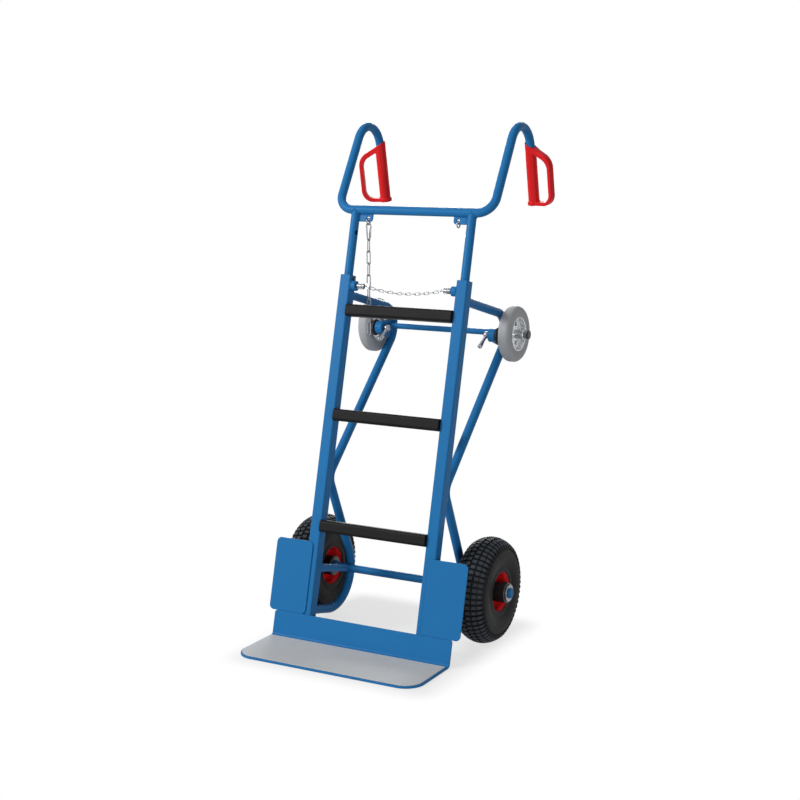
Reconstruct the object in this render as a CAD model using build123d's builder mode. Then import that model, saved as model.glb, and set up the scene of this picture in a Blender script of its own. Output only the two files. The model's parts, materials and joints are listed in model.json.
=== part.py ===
from build123d import *
from math import asin, atan2, cos, degrees, hypot, radians, sin, sqrt, tan
import os

# Appliance hand truck: leaning rails on a toe plate, pneumatic main wheels, rear support wheels
# and a telescoping handle bow.
# Millimetres. +X is the truck's right, +Y its back, +Z up, and the floor is Z = 0.
# The origin is the middle of the toe plate's underside.
# Most pieces are placed in the rails' own coordinates: x across, n backwards from the rails' front
# faces, and s upwards along the rails from the toe plate's bend.

# Fits and weld gaps
RUNNING_FIT = 0.05
SLIDING_FIT = 0.1
WELD_GAP = 0.3

# Toe plate and its lining
TOE_WIDTH = 490.0
TOE_DEPTH = 170.0
PLATE_T = 5.0
TOE_CORNER = 48.0
BEND_R = 6.0
FLANGE_H = 59.5
FLANGE_CORNER = 6.0
LINING_T = 2.0
LINING_MARGIN = 4.0

# Side rails
LEAN = 14.0
RAIL_PITCH = 322.0
RAIL_SIZE = 30.0
RAIL_WALL = 2.5
RAIL_CORNER = 4.0
RAIL_FOOT = 6.0
RAIL_TOP = 903.0

# Wheel guards
GUARD_OVERHANG = 19.0
GUARD_OVERLAP = 16.0
GUARD_TOP = 239.0
GUARD_T = 3.0
GUARD_CORNER = 12.0

# Rungs with their plastic profiles
RUNG_TOP_H = 815.0
RUNG_MIDDLE_H = 555.0
RUNG_BOTTOM_H = 280.0
RUNG_TUBE_D = 20.0
RUNG_TUBE_WALL = 2.0
PROFILE_H = 29.5
PROFILE_FRONT = 8.5
PROFILE_DEPTH = 34.0
PROFILE_CORNER = 7.0

# Rear struts: one bent tube on each side
STRUT_D = 22.0
STRUT_WALL = 2.0
STRUT_TOP = 857.0
STRUT_FOOT = 71.0
UPPER_BEND_R = 55.0
UPPER_BEND_BACK = 221.0
KNEE_HEIGHT = 405.0
KNEE_R = 34.0
LOWER_BEND_R = 92.0

# Main wheels and axle
MAIN_WHEEL_D = 260.0
TYRE_WIDTH = 85.0
TYRE_WALL = 9.0
TREAD_LUGS = 56
TREAD_DEPTH = 5.0
TREAD_GAP = 5.0
TREAD_CENTRE_GROOVE = 3.2
TREAD_SIDE_GROOVE = 3.4
TREAD_SIDE_GROOVE_X = 15.2
WHEEL_OFFSET = 77.0
AXLE_D = 20.0
AXLE_BACK = 177.0
BRACE_D = 20.0
RIM_SEAT_R = 47.0
RIM_SEAT_HALF = 31.0
RIM_LIP_R = 51.0
RIM_LIP_T = 4.0
RIM_MOUTH_R = 48.5
RIM_WEB_T = 14.0
HUB_R = 25.0
HUB_IN = 44.0
HUB_OUT = 56.0
BUSH_T = 3.0
TUBE_SKIN = 2.0
VALVE_R = 3.0
VALVE_REACH = 15.0
COLLAR_R = 14.0
COLLAR_T = 8.0
WASHER_R = 21.0
WASHER_T = 3.0
AXLE_CAP_R = 12.5
AXLE_CAP_L = 6.0

# Support wheels and axle
SUPPORT_WHEEL_D = 140.0
SUPPORT_TYRE_WIDTH = 32.0
SUPPORT_TYRE_CORNER = 6.0
SUPPORT_OFFSET = 38.5
SUPPORT_BACK = 246.0
SUPPORT_HEIGHT = 809.0
SUPPORT_AXLE_D = 15.0
SUPPORT_RIM_R = 42.0
SUPPORT_RIM_T = 2.5
SUPPORT_HUB_R = 11.0
SUPPORT_HUB_IN = 17.0
SUPPORT_HUB_OUT = 29.0
SUPPORT_BUSH_T = 2.0
RIM_HOLES = 5
RIM_HOLE_R = 8.0
RIM_HOLE_CIRCLE_R = 26.0
SPACER_R = 10.0
SUPPORT_CAP_R = 12.0
SUPPORT_CAP_L = 13.0
CAP_GRIP = 5.0

# Support wheel brakes
BRACKET_T = 5.0
BRAKE_BACK = 209.0
BRAKE_HEIGHT = 798.0
BRAKE_BOSS_R = 17.0
BRAKE_BOSS_L = 18.0
BRAKE_STEM_R = 5.0
PAD_R = 21.5
PAD_T = 5.0
PAD_STROKE = 5.0
PAD_FREE_GAP = 0.5
LEVER_HUB_R = 9.0
LEVER_REACH = 45.0
LEVER_ROOT_R = 4.6
LEVER_WAIST_R = 3.6
LEVER_KNOB_R = 6.0
LEVER_DIP = 32.0

# Handle bow
BOW_D = 22.0
BOW_WALL = 2.0
CROSSBAR_HEIGHT = 1068.0
ARM_OFFSET = 52.5
ARM_TILT = 16.8
ARM_LENGTH = 203.0
ELBOW_R = 42.0
HAIRPIN_R = 60.0
GRIP_TILT = 25.6
LEG_BELOW_LOCK = 70.0
LEG_TRAVEL = 133.0
GUIDE_L = 16.0
BUTTON_R = 4.0
BUTTON_PROUD = 3.0
BUTTON_ROOT = 1.0
PLUG_L = 12.0
GUSSET_T = 5.0
GUSSET_BACK = 17.5
GUSSET_W = 38.0
GUSSET_H = 18.0
GUSSET_CORNER = 8.0
EYE_INSET = 36.5
EYE_DROP = 20.5
EYE_R = 4.5

# Grips with knuckle guards
GRIP_R = 14.0
GRIP_LENGTH = 148.0
GRIP_END = 6.0
GRIP_MOUTH = 1.6
GRIP_RIM_R = 16.5
GRIP_RIM_L = 9.0
KNUCKLE_SWING = 14.0
KNUCKLE_REACH = 61.0
KNUCKLE_SLOPE = 28.8
KNUCKLE_RISE = 4.0
KNUCKLE_STRAP = 15.0
KNUCKLE_BAND = 9.5
KNUCKLE_WIDTH = 17.0
KNUCKLE_TOP_R = 38.0
KNUCKLE_LOW_R = 30.0

# Bow lock: pull pins in bosses on the rails
LOCK_BACK = 12.5
LOCK_HEIGHT = 877.0
BOSS_R = 12.5
BOSS_L = 14.0
BOSS_END = 3.0
SPRING_BORE_R = 8.5
PIN_R = 5.0
PIN_STROKE = 3.5
PIN_REST_GAP = 0.3
PIN_COLLAR_T = 2.0
KNOB_R = 7.0
KNOB_L = 18.0
TANG_L = 11.0
TANG_T = 2.5
TANG_EYE_R = 4.0
INDEX_HOLE_R = 5.8
SPRING_WIRE = 0.9
SPRING_TURNS = 4

# Chains, rings and snap hook
RING_R = 9.5
RING_WIRE = 3.5
HOOK_LENGTH = 46.0
HOOK_TOP_W = 15.0
HOOK_LOW_W = 10.0
HOOK_WIRE = 3.6
LOAD_LINKS = 8
LOAD_PITCH = 30.0
LOAD_WIRE = 3.0
LOAD_WIDTH = 12.0
LOCK_LINKS = 17
LOCK_WIRE = 2.0
LOCK_WIDTH = 8.0
LOCK_SAG = 13.0
LINK_PLAY = 0.4

# Places worked out from the driving sizes
SIDES = ((-1, "left"), (1, "right"))
RUNG_HEIGHTS = {"top": RUNG_TOP_H, "middle": RUNG_MIDDLE_H, "bottom": RUNG_BOTTOM_H}
UP = Vector(0, sin(radians(LEAN)), cos(radians(LEAN)))
BACK = Vector(0, cos(radians(LEAN)), -sin(radians(LEAN)))
BEND = Vector(0, TOE_DEPTH / 2, PLATE_T)
RAIL_ORIGIN = BEND + BACK * PLATE_T
RAIL_X = RAIL_PITCH / 2
RAIL_IN_X = RAIL_X - RAIL_SIZE / 2
RAIL_BORE = RAIL_SIZE - 2 * RAIL_WALL
RAIL_BORE_CORNER = max(RAIL_CORNER - RAIL_WALL, RAIL_CORNER / 8)
RAIL_MID = RAIL_SIZE / 2
STRUT_R = STRUT_D / 2
AXLE_R = AXLE_D / 2
BOW_R = BOW_D / 2
ARM_X = RAIL_X + ARM_OFFSET
EYE_X = RAIL_X - EYE_INSET
WHEEL_X = RAIL_X + WHEEL_OFFSET
SUPPORT_X = RAIL_X + SUPPORT_OFFSET
SUPPORT_AXLE_R = SUPPORT_AXLE_D / 2


def place(x, n, s):
    """Point in the truck's frame for rail coordinates."""
    return RAIL_ORIGIN + Vector(x, 0, 0) + BACK * n + UP * s


def rail_plane(x, n, s):
    """Plane square to the rails, for sections that run along them."""
    return Plane(place(x, n, s), x_dir=(1, 0, 0), z_dir=UP)


def side_plane(x):
    """Upright fore-and-aft plane whose own coordinates are (n, s)."""
    return Plane(place(x, 0, 0), x_dir=BACK, z_dir=(1, 0, 0))


def front_plane(n):
    """Plane of the rails' front faces moved back by n, with coordinates (x, s)."""
    return Plane(place(0, n, 0), x_dir=(1, 0, 0), z_dir=-BACK)


def section_plane(x, centre):
    """Upright plane through a wheel's axis, with coordinates (along the axle, outwards)."""
    return Plane((x, centre.Y, centre.Z), x_dir=(1, 0, 0), z_dir=(0, -1, 0))


def cross_plane(x, centre):
    """Plane square to an axle at x."""
    return Plane((x, centre.Y, centre.Z), x_dir=(0, 1, 0), z_dir=(1, 0, 0))


def keep(piece, node):
    """Label a finished piece and write it as its own file."""
    piece.label = node
    export_step(piece, f"parts/{node}.step")
    print(node, "volume", round(piece.volume))


os.makedirs("parts", exist_ok=True)

# The axle stands one wheel radius above the floor, at AXLE_BACK behind the rails' front faces.
AXLE_HEIGHT = (MAIN_WHEEL_D / 2 - RAIL_ORIGIN.Z - AXLE_BACK * BACK.Z) / UP.Z
AXLE = place(0, AXLE_BACK, AXLE_HEIGHT)
SUPPORT_AXLE = place(0, SUPPORT_BACK, SUPPORT_HEIGHT)
BRAKE = place(0, BRAKE_BACK, BRAKE_HEIGHT)

# Toe plate: one bent sheet, its flange leaning with the rails
flange_top = BEND + UP * FLANGE_H
flange_back = flange_top + BACK * PLATE_T
heel = RAIL_ORIGIN - UP * (RAIL_ORIGIN.Z / UP.Z)
with BuildPart() as toe_plate:
    with BuildSketch(Plane.YZ.offset(-TOE_WIDTH / 2)) as toe_profile:
        with BuildLine():
            Polyline(
                (-TOE_DEPTH / 2, 0),
                (heel.Y, heel.Z),
                (flange_back.Y, flange_back.Z),
                (flange_top.Y, flange_top.Z),
                (BEND.Y, BEND.Z),
                (-TOE_DEPTH / 2, PLATE_T),
                close=True,
            )
        make_face()
        fillet(toe_profile.vertices().sort_by_distance((BEND.Y, BEND.Z))[0], BEND_R)
        fillet(toe_profile.vertices().sort_by_distance((heel.Y, heel.Z))[0], BEND_R + PLATE_T)
    extrude(amount=TOE_WIDTH)
    fillet(toe_plate.edges().filter_by(Axis.Z).group_by(Axis.Y)[0], TOE_CORNER)
    fillet(toe_plate.edges().filter_by(Axis((0, 0, 0), BACK)).group_by(Axis.Z)[-1], FLANGE_CORNER)
keep(toe_plate.part, "toe_plate")

# Anti-slip lining on the toe plate, clear of the bend
lining_back = BEND.Y - (BEND_R + LINING_MARGIN)
lining_front = -TOE_DEPTH / 2 + LINING_MARGIN
with BuildPart() as toe_plate_lining:
    with BuildSketch(Plane.XY.offset(PLATE_T)) as lining_outline:
        with Locations((0, (lining_back + lining_front) / 2)):
            Rectangle(TOE_WIDTH - 2 * LINING_MARGIN, lining_back - lining_front)
        fillet(lining_outline.vertices().group_by(Axis.Y)[0], TOE_CORNER - LINING_MARGIN)
    extrude(amount=LINING_T)
keep(toe_plate_lining.part, "toe_plate_lining")

# Side rails: square tube, with holes in the inner wall for the lock pin and the guide's button
for sign, side in SIDES:
    with BuildPart() as side_rail:
        with BuildSketch(rail_plane(sign * RAIL_X, RAIL_MID, RAIL_FOOT)):
            RectangleRounded(RAIL_SIZE, RAIL_SIZE, RAIL_CORNER)
            RectangleRounded(RAIL_BORE, RAIL_BORE, RAIL_BORE_CORNER, mode=Mode.SUBTRACT)
        extrude(amount=RAIL_TOP - RAIL_FOOT)
        with BuildSketch(side_plane(sign * RAIL_IN_X)):
            with Locations((LOCK_BACK, LOCK_HEIGHT)):
                Circle(PIN_R + RUNNING_FIT)
            with Locations((RAIL_MID, RAIL_TOP - GUIDE_L / 2)):
                Circle(BUTTON_R + RUNNING_FIT)
        extrude(amount=sign * 2 * RAIL_WALL, mode=Mode.SUBTRACT)
    keep(side_rail.part, f"side_rail_{side}")

# Wheel guards: plates on the rails' front faces, standing on the toe plate's flange
guard_in_x = RAIL_IN_X + RAIL_SIZE - GUARD_OVERLAP
guard_width = TOE_WIDTH / 2 + GUARD_OVERHANG - guard_in_x
for sign, side in SIDES:
    with BuildPart() as wheel_guard:
        with BuildSketch(front_plane(0)):
            with Locations((sign * (guard_in_x + guard_width / 2), (GUARD_TOP + FLANGE_H) / 2)):
                RectangleRounded(guard_width, GUARD_TOP - FLANGE_H, GUARD_CORNER)
        extrude(amount=GUARD_T)
    keep(wheel_guard.part, f"wheel_guard_{side}")

# Rungs: a steel tube between the rails inside a plastic profile that stands proud of them
rung_length = 2 * RAIL_IN_X
with BuildPart() as rung_tubes:
    for height in RUNG_HEIGHTS.values():
        with BuildSketch(side_plane(-RAIL_IN_X)):
            with Locations((RAIL_MID, height)):
                Circle(RUNG_TUBE_D / 2)
                Circle(RUNG_TUBE_D / 2 - RUNG_TUBE_WALL, mode=Mode.SUBTRACT)
        extrude(amount=rung_length)
keep(rung_tubes.part, "rung_tubes")

for level, height in RUNG_HEIGHTS.items():
    with BuildPart() as rung_profile:
        with BuildSketch(side_plane(-RAIL_IN_X)):
            with Locations((PROFILE_DEPTH / 2 - PROFILE_FRONT, height)):
                RectangleRounded(PROFILE_DEPTH, PROFILE_H, PROFILE_CORNER)
            with Locations((RAIL_MID, height)):
                Circle(RUNG_TUBE_D / 2 + SLIDING_FIT, mode=Mode.SUBTRACT)
        extrude(amount=rung_length)
    keep(rung_profile.part, f"rung_profile_{level}")

# Rear struts. Three circles set the bent tube's line: the upper bend behind the rail's top, the
# knee against the rail's back, and the lower bend round the back of the axle.
bend_s = STRUT_TOP - UPPER_BEND_R
knee_n = RAIL_SIZE + WELD_GAP + STRUT_R + KNEE_R
lower_s = STRUT_FOOT + LOWER_BEND_R
lower_reach = LOWER_BEND_R - STRUT_R - AXLE_R - WELD_GAP
lower_n = AXLE_BACK - sqrt(lower_reach**2 - (AXLE_HEIGHT - lower_s) ** 2)


def crossing_tilt(n_gap, s_gap, radii):
    """Tilt from the rails of a line that touches two circles on opposite sides."""
    return degrees(atan2(n_gap, s_gap) + asin(radii / hypot(n_gap, s_gap)))


upper_tilt = crossing_tilt(UPPER_BEND_BACK - knee_n, bend_s - KNEE_HEIGHT, UPPER_BEND_R + KNEE_R)
lower_tilt = crossing_tilt(lower_n - knee_n, KNEE_HEIGHT - lower_s, KNEE_R + LOWER_BEND_R)
upper_corner = Vector(UPPER_BEND_BACK + UPPER_BEND_R * tan(radians(45 + upper_tilt / 2)), STRUT_TOP)
lower_corner = Vector(lower_n + LOWER_BEND_R * tan(radians(45 + lower_tilt / 2)), STRUT_FOOT)
span = lower_corner - upper_corner
upper_run = -(span.X * cos(radians(lower_tilt)) + span.Y * sin(radians(lower_tilt)))
upper_run = upper_run / sin(radians(upper_tilt + lower_tilt))
knee_corner = upper_corner - Vector(sin(radians(upper_tilt)), cos(radians(upper_tilt))) * upper_run
for sign, side in SIDES:
    with BuildPart() as rear_strut:
        with BuildLine(side_plane(sign * RAIL_X)) as strut_line:
            FilletPolyline(
                (RAIL_SIZE, STRUT_TOP),
                (upper_corner.X, upper_corner.Y),
                (knee_corner.X, knee_corner.Y),
                (lower_corner.X, lower_corner.Y),
                (RAIL_SIZE, STRUT_FOOT),
                radius=(UPPER_BEND_R, KNEE_R, LOWER_BEND_R),
            )
        with BuildSketch(Plane(place(sign * RAIL_X, RAIL_SIZE, STRUT_TOP), z_dir=BACK)):
            Circle(STRUT_R)
            Circle(STRUT_R - STRUT_WALL, mode=Mode.SUBTRACT)
        sweep(path=strut_line.wires()[0])
    keep(rear_strut.part, f"rear_strut_{side}")

# Axle braces: bars from the rails' backs to the axle
with BuildPart() as axle_braces:
    for sign, side in SIDES:
        with BuildSketch(Plane(place(sign * RAIL_X, RAIL_SIZE, AXLE_HEIGHT), z_dir=BACK)):
            Circle(BRACE_D / 2)
        extrude(amount=AXLE_BACK - AXLE_R - WELD_GAP - RAIL_SIZE)
keep(axle_braces.part, "axle_braces")

# Main axle, its inner collars, outer washers and end caps
hub_in_x = WHEEL_X - HUB_IN
hub_out_x = WHEEL_X + HUB_OUT
washer_in_x = hub_out_x + WELD_GAP
cap_in_x = washer_in_x + WASHER_T
axle_end_x = cap_in_x + AXLE_CAP_L - RAIL_WALL
with BuildPart() as main_axle:
    with BuildSketch(cross_plane(-axle_end_x, AXLE)):
        Circle(AXLE_R)
    extrude(amount=2 * axle_end_x)
    chamfer(main_axle.edges().filter_by(GeomType.CIRCLE), AXLE_R / 10)
keep(main_axle.part, "main_axle")

with BuildPart() as axle_collars:
    for sign, side in SIDES:
        with BuildSketch(cross_plane(sign * (hub_in_x - WELD_GAP), AXLE)):
            Circle(COLLAR_R)
            Circle(AXLE_R + RUNNING_FIT, mode=Mode.SUBTRACT)
        extrude(amount=-sign * COLLAR_T)
keep(axle_collars.part, "axle_collars")

with BuildPart() as axle_washers:
    for sign, side in SIDES:
        with BuildSketch(cross_plane(sign * washer_in_x, AXLE)):
            Circle(WASHER_R)
            Circle(AXLE_R + RUNNING_FIT, mode=Mode.SUBTRACT)
        extrude(amount=sign * WASHER_T)
keep(axle_washers.part, "axle_washers")

with BuildPart() as axle_caps:
    for sign, side in SIDES:
        with BuildSketch(cross_plane(sign * cap_in_x, AXLE)):
            Circle(AXLE_CAP_R)
        extrude(amount=sign * AXLE_CAP_L)
        cap_rim = axle_caps.edges().filter_by(GeomType.CIRCLE).sort_by(Axis.X)
        fillet(cap_rim[-1] if sign > 0 else cap_rim[0], AXLE_CAP_R / 4)
        with BuildSketch(cross_plane(sign * cap_in_x, AXLE)):
            Circle(AXLE_R + RUNNING_FIT)
        extrude(amount=sign * (axle_end_x - cap_in_x + RUNNING_FIT), mode=Mode.SUBTRACT)
keep(axle_caps.part, "axle_caps")

# Main wheels. The tyre's section is drawn once for one side and mirrored about the wheel's middle.
tyre_r = MAIN_WHEEL_D / 2
tyre_half = TYRE_WIDTH / 2
shoulder = Vector(tyre_half * 0.85, tyre_r - TYRE_WIDTH / 6)
widest = Vector(tyre_half, (RIM_LIP_R + shoulder.Y) / 2)
bead_x = RIM_SEAT_HALF - TYRE_WALL
cavity_low = RIM_SEAT_R + TYRE_WALL
cavity_shoulder = Vector(shoulder.X - TYRE_WALL, shoulder.Y - TYRE_WALL * 0.6)
cavity_wide = Vector(widest.X - TYRE_WALL, widest.Y)
cavity_top = tyre_r - TYRE_WALL

# Tread: the crown is a few straight flanks. One notch, drawn with x outwards from the axle and z along
# it, is repeated round each half of the tyre, half a pitch apart on the two halves, and grooves run
# round the middle and inside the shoulders.
crown_fall = TYRE_WIDTH / 6
crown_in = Vector(TREAD_SIDE_GROOVE_X, tyre_r - crown_fall * (TREAD_SIDE_GROOVE_X / shoulder.X) ** 2)
crown_out = Vector(shoulder.X * 0.75, tyre_r - crown_fall * 0.75**2)
side_top = Vector((shoulder.X + 2 * tyre_half) / 3, shoulder.Y - TYRE_WALL)
notch_in = Vector(crown_in.Y - TREAD_DEPTH, crown_in.X)
notch_edge = Vector(shoulder.Y - TREAD_DEPTH, shoulder.X)
notch_out = notch_edge + (notch_edge - notch_in) / 2
notch_top = tyre_r + TREAD_DEPTH
with BuildPart() as tread_notch:
    with BuildSketch(Plane.XZ):
        with BuildLine():
            Polyline(
                (tyre_r - TREAD_DEPTH, TREAD_CENTRE_GROOVE / 4),
                (notch_in.X, notch_in.Y),
                (notch_out.X, notch_out.Y),
                (notch_top, notch_out.Y),
                (notch_top, TREAD_CENTRE_GROOVE / 4),
                close=True,
            )
        make_face()
    notch_arc = degrees(TREAD_GAP / tyre_r)
    revolve(axis=Axis.Z, revolution_arc=notch_arc)
for sign, side in SIDES:
    wheel_section = section_plane(sign * WHEEL_X, AXLE)
    wheel_axis = Axis((sign * WHEEL_X, AXLE.Y, AXLE.Z), (1, 0, 0))

    with BuildPart() as tyre:
        with BuildSketch(wheel_section):
            with BuildLine():
                Polyline((0, cavity_top), (0, tyre_r))
                Polyline((0, tyre_r), (crown_in.X, crown_in.Y), (crown_out.X, crown_out.Y),
                         (shoulder.X, shoulder.Y), (side_top.X, side_top.Y))
                ThreePointArc((side_top.X, side_top.Y), (widest.X, widest.Y), (RIM_SEAT_HALF, RIM_LIP_R))
                Polyline((RIM_SEAT_HALF, RIM_LIP_R), (RIM_SEAT_HALF, RIM_SEAT_R), (bead_x, RIM_SEAT_R),
                         (bead_x, cavity_low))
                ThreePointArc((bead_x, cavity_low), (cavity_wide.X, cavity_wide.Y),
                              (cavity_shoulder.X, cavity_shoulder.Y))
                ThreePointArc((cavity_shoulder.X, cavity_shoulder.Y),
                              (cavity_shoulder.X / 2, cavity_top - TYRE_WALL / 4), (0, cavity_top))
            make_face()
            mirror(about=Plane.YZ)
        revolve(axis=wheel_axis)
        with BuildSketch(wheel_section):
            with Locations((0, tyre_r)):
                Rectangle(TREAD_CENTRE_GROOVE, 2 * TREAD_DEPTH)
            with Locations((-notch_in.Y, notch_in.X), (notch_in.Y, notch_in.X)):
                Rectangle(TREAD_SIDE_GROOVE, 2 * TREAD_DEPTH, align=(Align.CENTER, Align.MIN))
        revolve(axis=wheel_axis, mode=Mode.SUBTRACT)
        with Locations(cross_plane(sign * WHEEL_X, AXLE)):
            with PolarLocations(0, TREAD_LUGS):
                add(tread_notch.part, mode=Mode.SUBTRACT)
        with Locations(Plane((sign * WHEEL_X, AXLE.Y, AXLE.Z), x_dir=(0, 1, 0), z_dir=(-1, 0, 0))):
            with PolarLocations(0, TREAD_LUGS, start_angle=180 / TREAD_LUGS - notch_arc):
                add(tread_notch.part, mode=Mode.SUBTRACT)
    keep(tyre.part, f"tyre_{side}")

    with BuildPart() as inner_tube:
        with BuildSketch(wheel_section):
            with BuildLine():
                Polyline((0, cavity_top), (0, RIM_SEAT_R), (bead_x, RIM_SEAT_R), (bead_x, cavity_low))
                ThreePointArc((bead_x, cavity_low), (cavity_wide.X, cavity_wide.Y),
                              (cavity_shoulder.X, cavity_shoulder.Y))
                ThreePointArc((cavity_shoulder.X, cavity_shoulder.Y),
                              (cavity_shoulder.X / 2, cavity_top - TYRE_WALL / 4), (0, cavity_top))
            make_face()
            mirror(about=Plane.YZ)
            offset(amount=-WELD_GAP, mode=Mode.REPLACE)
            offset(amount=-TUBE_SKIN, mode=Mode.SUBTRACT)
        revolve(axis=wheel_axis)
        with BuildSketch(Plane((sign * (WHEEL_X + RIM_WEB_T), AXLE.Y, AXLE.Z - RIM_SEAT_R - TUBE_SKIN))):
            Circle(VALVE_R)
        extrude(amount=VALVE_REACH + TUBE_SKIN)
    keep(inner_tube.part, f"inner_tube_{side}")

    lip_half = RIM_SEAT_HALF + RIM_LIP_T
    with BuildPart() as wheel_rim:
        with BuildSketch(wheel_section):
            with BuildLine():
                Polyline(
                    (0, RIM_SEAT_R - SLIDING_FIT),
                    (RIM_SEAT_HALF + SLIDING_FIT, RIM_SEAT_R - SLIDING_FIT),
                    (RIM_SEAT_HALF + SLIDING_FIT, RIM_LIP_R),
                    (lip_half, RIM_LIP_R),
                    (lip_half, RIM_MOUTH_R),
                    (RIM_SEAT_HALF - RIM_LIP_T, RIM_SEAT_R - RIM_LIP_T * 0.75),
                    (RIM_WEB_T / 2, RIM_SEAT_R - RIM_LIP_T),
                    (RIM_WEB_T / 2, HUB_R + RUNNING_FIT),
                    (0, HUB_R + RUNNING_FIT),
                    close=True,
                )
            make_face()
            mirror(about=Plane.YZ)
        revolve(axis=wheel_axis)
        with BuildSketch(Plane((sign * (WHEEL_X + RIM_WEB_T), AXLE.Y, AXLE.Z - HUB_R))):
            Circle(VALVE_R + SLIDING_FIT)
        extrude(amount=HUB_R - RIM_SEAT_R, mode=Mode.SUBTRACT)
    keep(wheel_rim.part, f"wheel_rim_{side}")

    with BuildPart() as wheel_hub:
        with BuildSketch(cross_plane(sign * hub_in_x, AXLE)):
            Circle(HUB_R)
        extrude(amount=sign * (HUB_IN + HUB_OUT))
        chamfer(wheel_hub.edges().filter_by(GeomType.CIRCLE), HUB_R / 12)
        with BuildSketch(cross_plane(sign * hub_in_x, AXLE)):
            Circle(AXLE_R + RUNNING_FIT + BUSH_T + RUNNING_FIT)
        extrude(amount=sign * (HUB_IN + HUB_OUT), mode=Mode.SUBTRACT)
    keep(wheel_hub.part, f"wheel_hub_{side}")

    with BuildPart() as wheel_bush:
        with BuildSketch(cross_plane(sign * hub_in_x, AXLE)):
            Circle(AXLE_R + RUNNING_FIT + BUSH_T)
            Circle(AXLE_R + RUNNING_FIT, mode=Mode.SUBTRACT)
        extrude(amount=sign * (HUB_IN + HUB_OUT))
    keep(wheel_bush.part, f"wheel_bush_{side}")

# Support brackets: a plate in each strut's upper bend that carries the support axle and, on a
# round boss, the brake
plate_out_x = RAIL_X + BRACKET_T / 2
boss_in_x = RAIL_X - BRAKE_BOSS_L / 2
bend_bore_r = UPPER_BEND_R - STRUT_R - WELD_GAP
for sign, side in SIDES:
    with BuildPart() as support_bracket:
        with BuildSketch(side_plane(sign * RAIL_X)):
            with Locations((BRAKE_BACK, BRAKE_HEIGHT)):
                Circle(BRAKE_BOSS_R)
            with Locations((SUPPORT_BACK, SUPPORT_HEIGHT)):
                Circle(SUPPORT_AXLE_D)
            with Locations((UPPER_BEND_BACK + bend_bore_r - BRAKE_BOSS_R, bend_s - SUPPORT_AXLE_R)):
                Circle(BRAKE_BOSS_R)
            make_hull()
            with Locations((UPPER_BEND_BACK, bend_s)):
                Circle(bend_bore_r, mode=Mode.INTERSECT)
        extrude(amount=BRACKET_T / 2, both=True)
        with BuildSketch(side_plane(sign * RAIL_X)):
            with Locations((BRAKE_BACK, BRAKE_HEIGHT)):
                Circle(BRAKE_BOSS_R)
        extrude(amount=BRAKE_BOSS_L / 2, both=True)
        with BuildSketch(side_plane(sign * RAIL_X)):
            with Locations((BRAKE_BACK, BRAKE_HEIGHT)):
                Circle(BRAKE_STEM_R + RUNNING_FIT)
            with Locations((SUPPORT_BACK, SUPPORT_HEIGHT)):
                Circle(SUPPORT_AXLE_R + RUNNING_FIT)
        extrude(amount=BRAKE_BOSS_L, both=True, mode=Mode.SUBTRACT)
    keep(support_bracket.part, f"support_bracket_{side}")

# Support axle with its spacer sleeves and push-on caps
support_in_x = SUPPORT_X - SUPPORT_HUB_IN
support_out_x = SUPPORT_X + SUPPORT_HUB_OUT
support_cap_x = support_out_x + WELD_GAP
support_end_x = support_cap_x + CAP_GRIP
with BuildPart() as support_axle:
    with BuildSketch(cross_plane(-support_end_x, SUPPORT_AXLE)):
        Circle(SUPPORT_AXLE_R)
    extrude(amount=2 * support_end_x)
keep(support_axle.part, "support_axle")

with BuildPart() as support_spacers:
    for sign, side in SIDES:
        with BuildSketch(cross_plane(sign * (support_in_x - WELD_GAP), SUPPORT_AXLE)):
            Circle(SPACER_R)
            Circle(SUPPORT_AXLE_R + RUNNING_FIT, mode=Mode.SUBTRACT)
        extrude(amount=-sign * (support_in_x - plate_out_x - 2 * WELD_GAP))
keep(support_spacers.part, "support_spacers")

with BuildPart() as support_caps:
    for sign, side in SIDES:
        with BuildSketch(cross_plane(sign * support_cap_x, SUPPORT_AXLE)):
            Circle(SUPPORT_CAP_R)
        extrude(amount=sign * SUPPORT_CAP_L)
        cap_rim = support_caps.edges().filter_by(GeomType.CIRCLE).sort_by(Axis.X)
        fillet(cap_rim[-1] if sign > 0 else cap_rim[0], SUPPORT_CAP_R / 3)
        with BuildSketch(cross_plane(sign * support_cap_x, SUPPORT_AXLE)):
            Circle(SUPPORT_AXLE_R + RUNNING_FIT)
        extrude(amount=sign * (CAP_GRIP + RUNNING_FIT), mode=Mode.SUBTRACT)
keep(support_caps.part, "support_caps")

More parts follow.
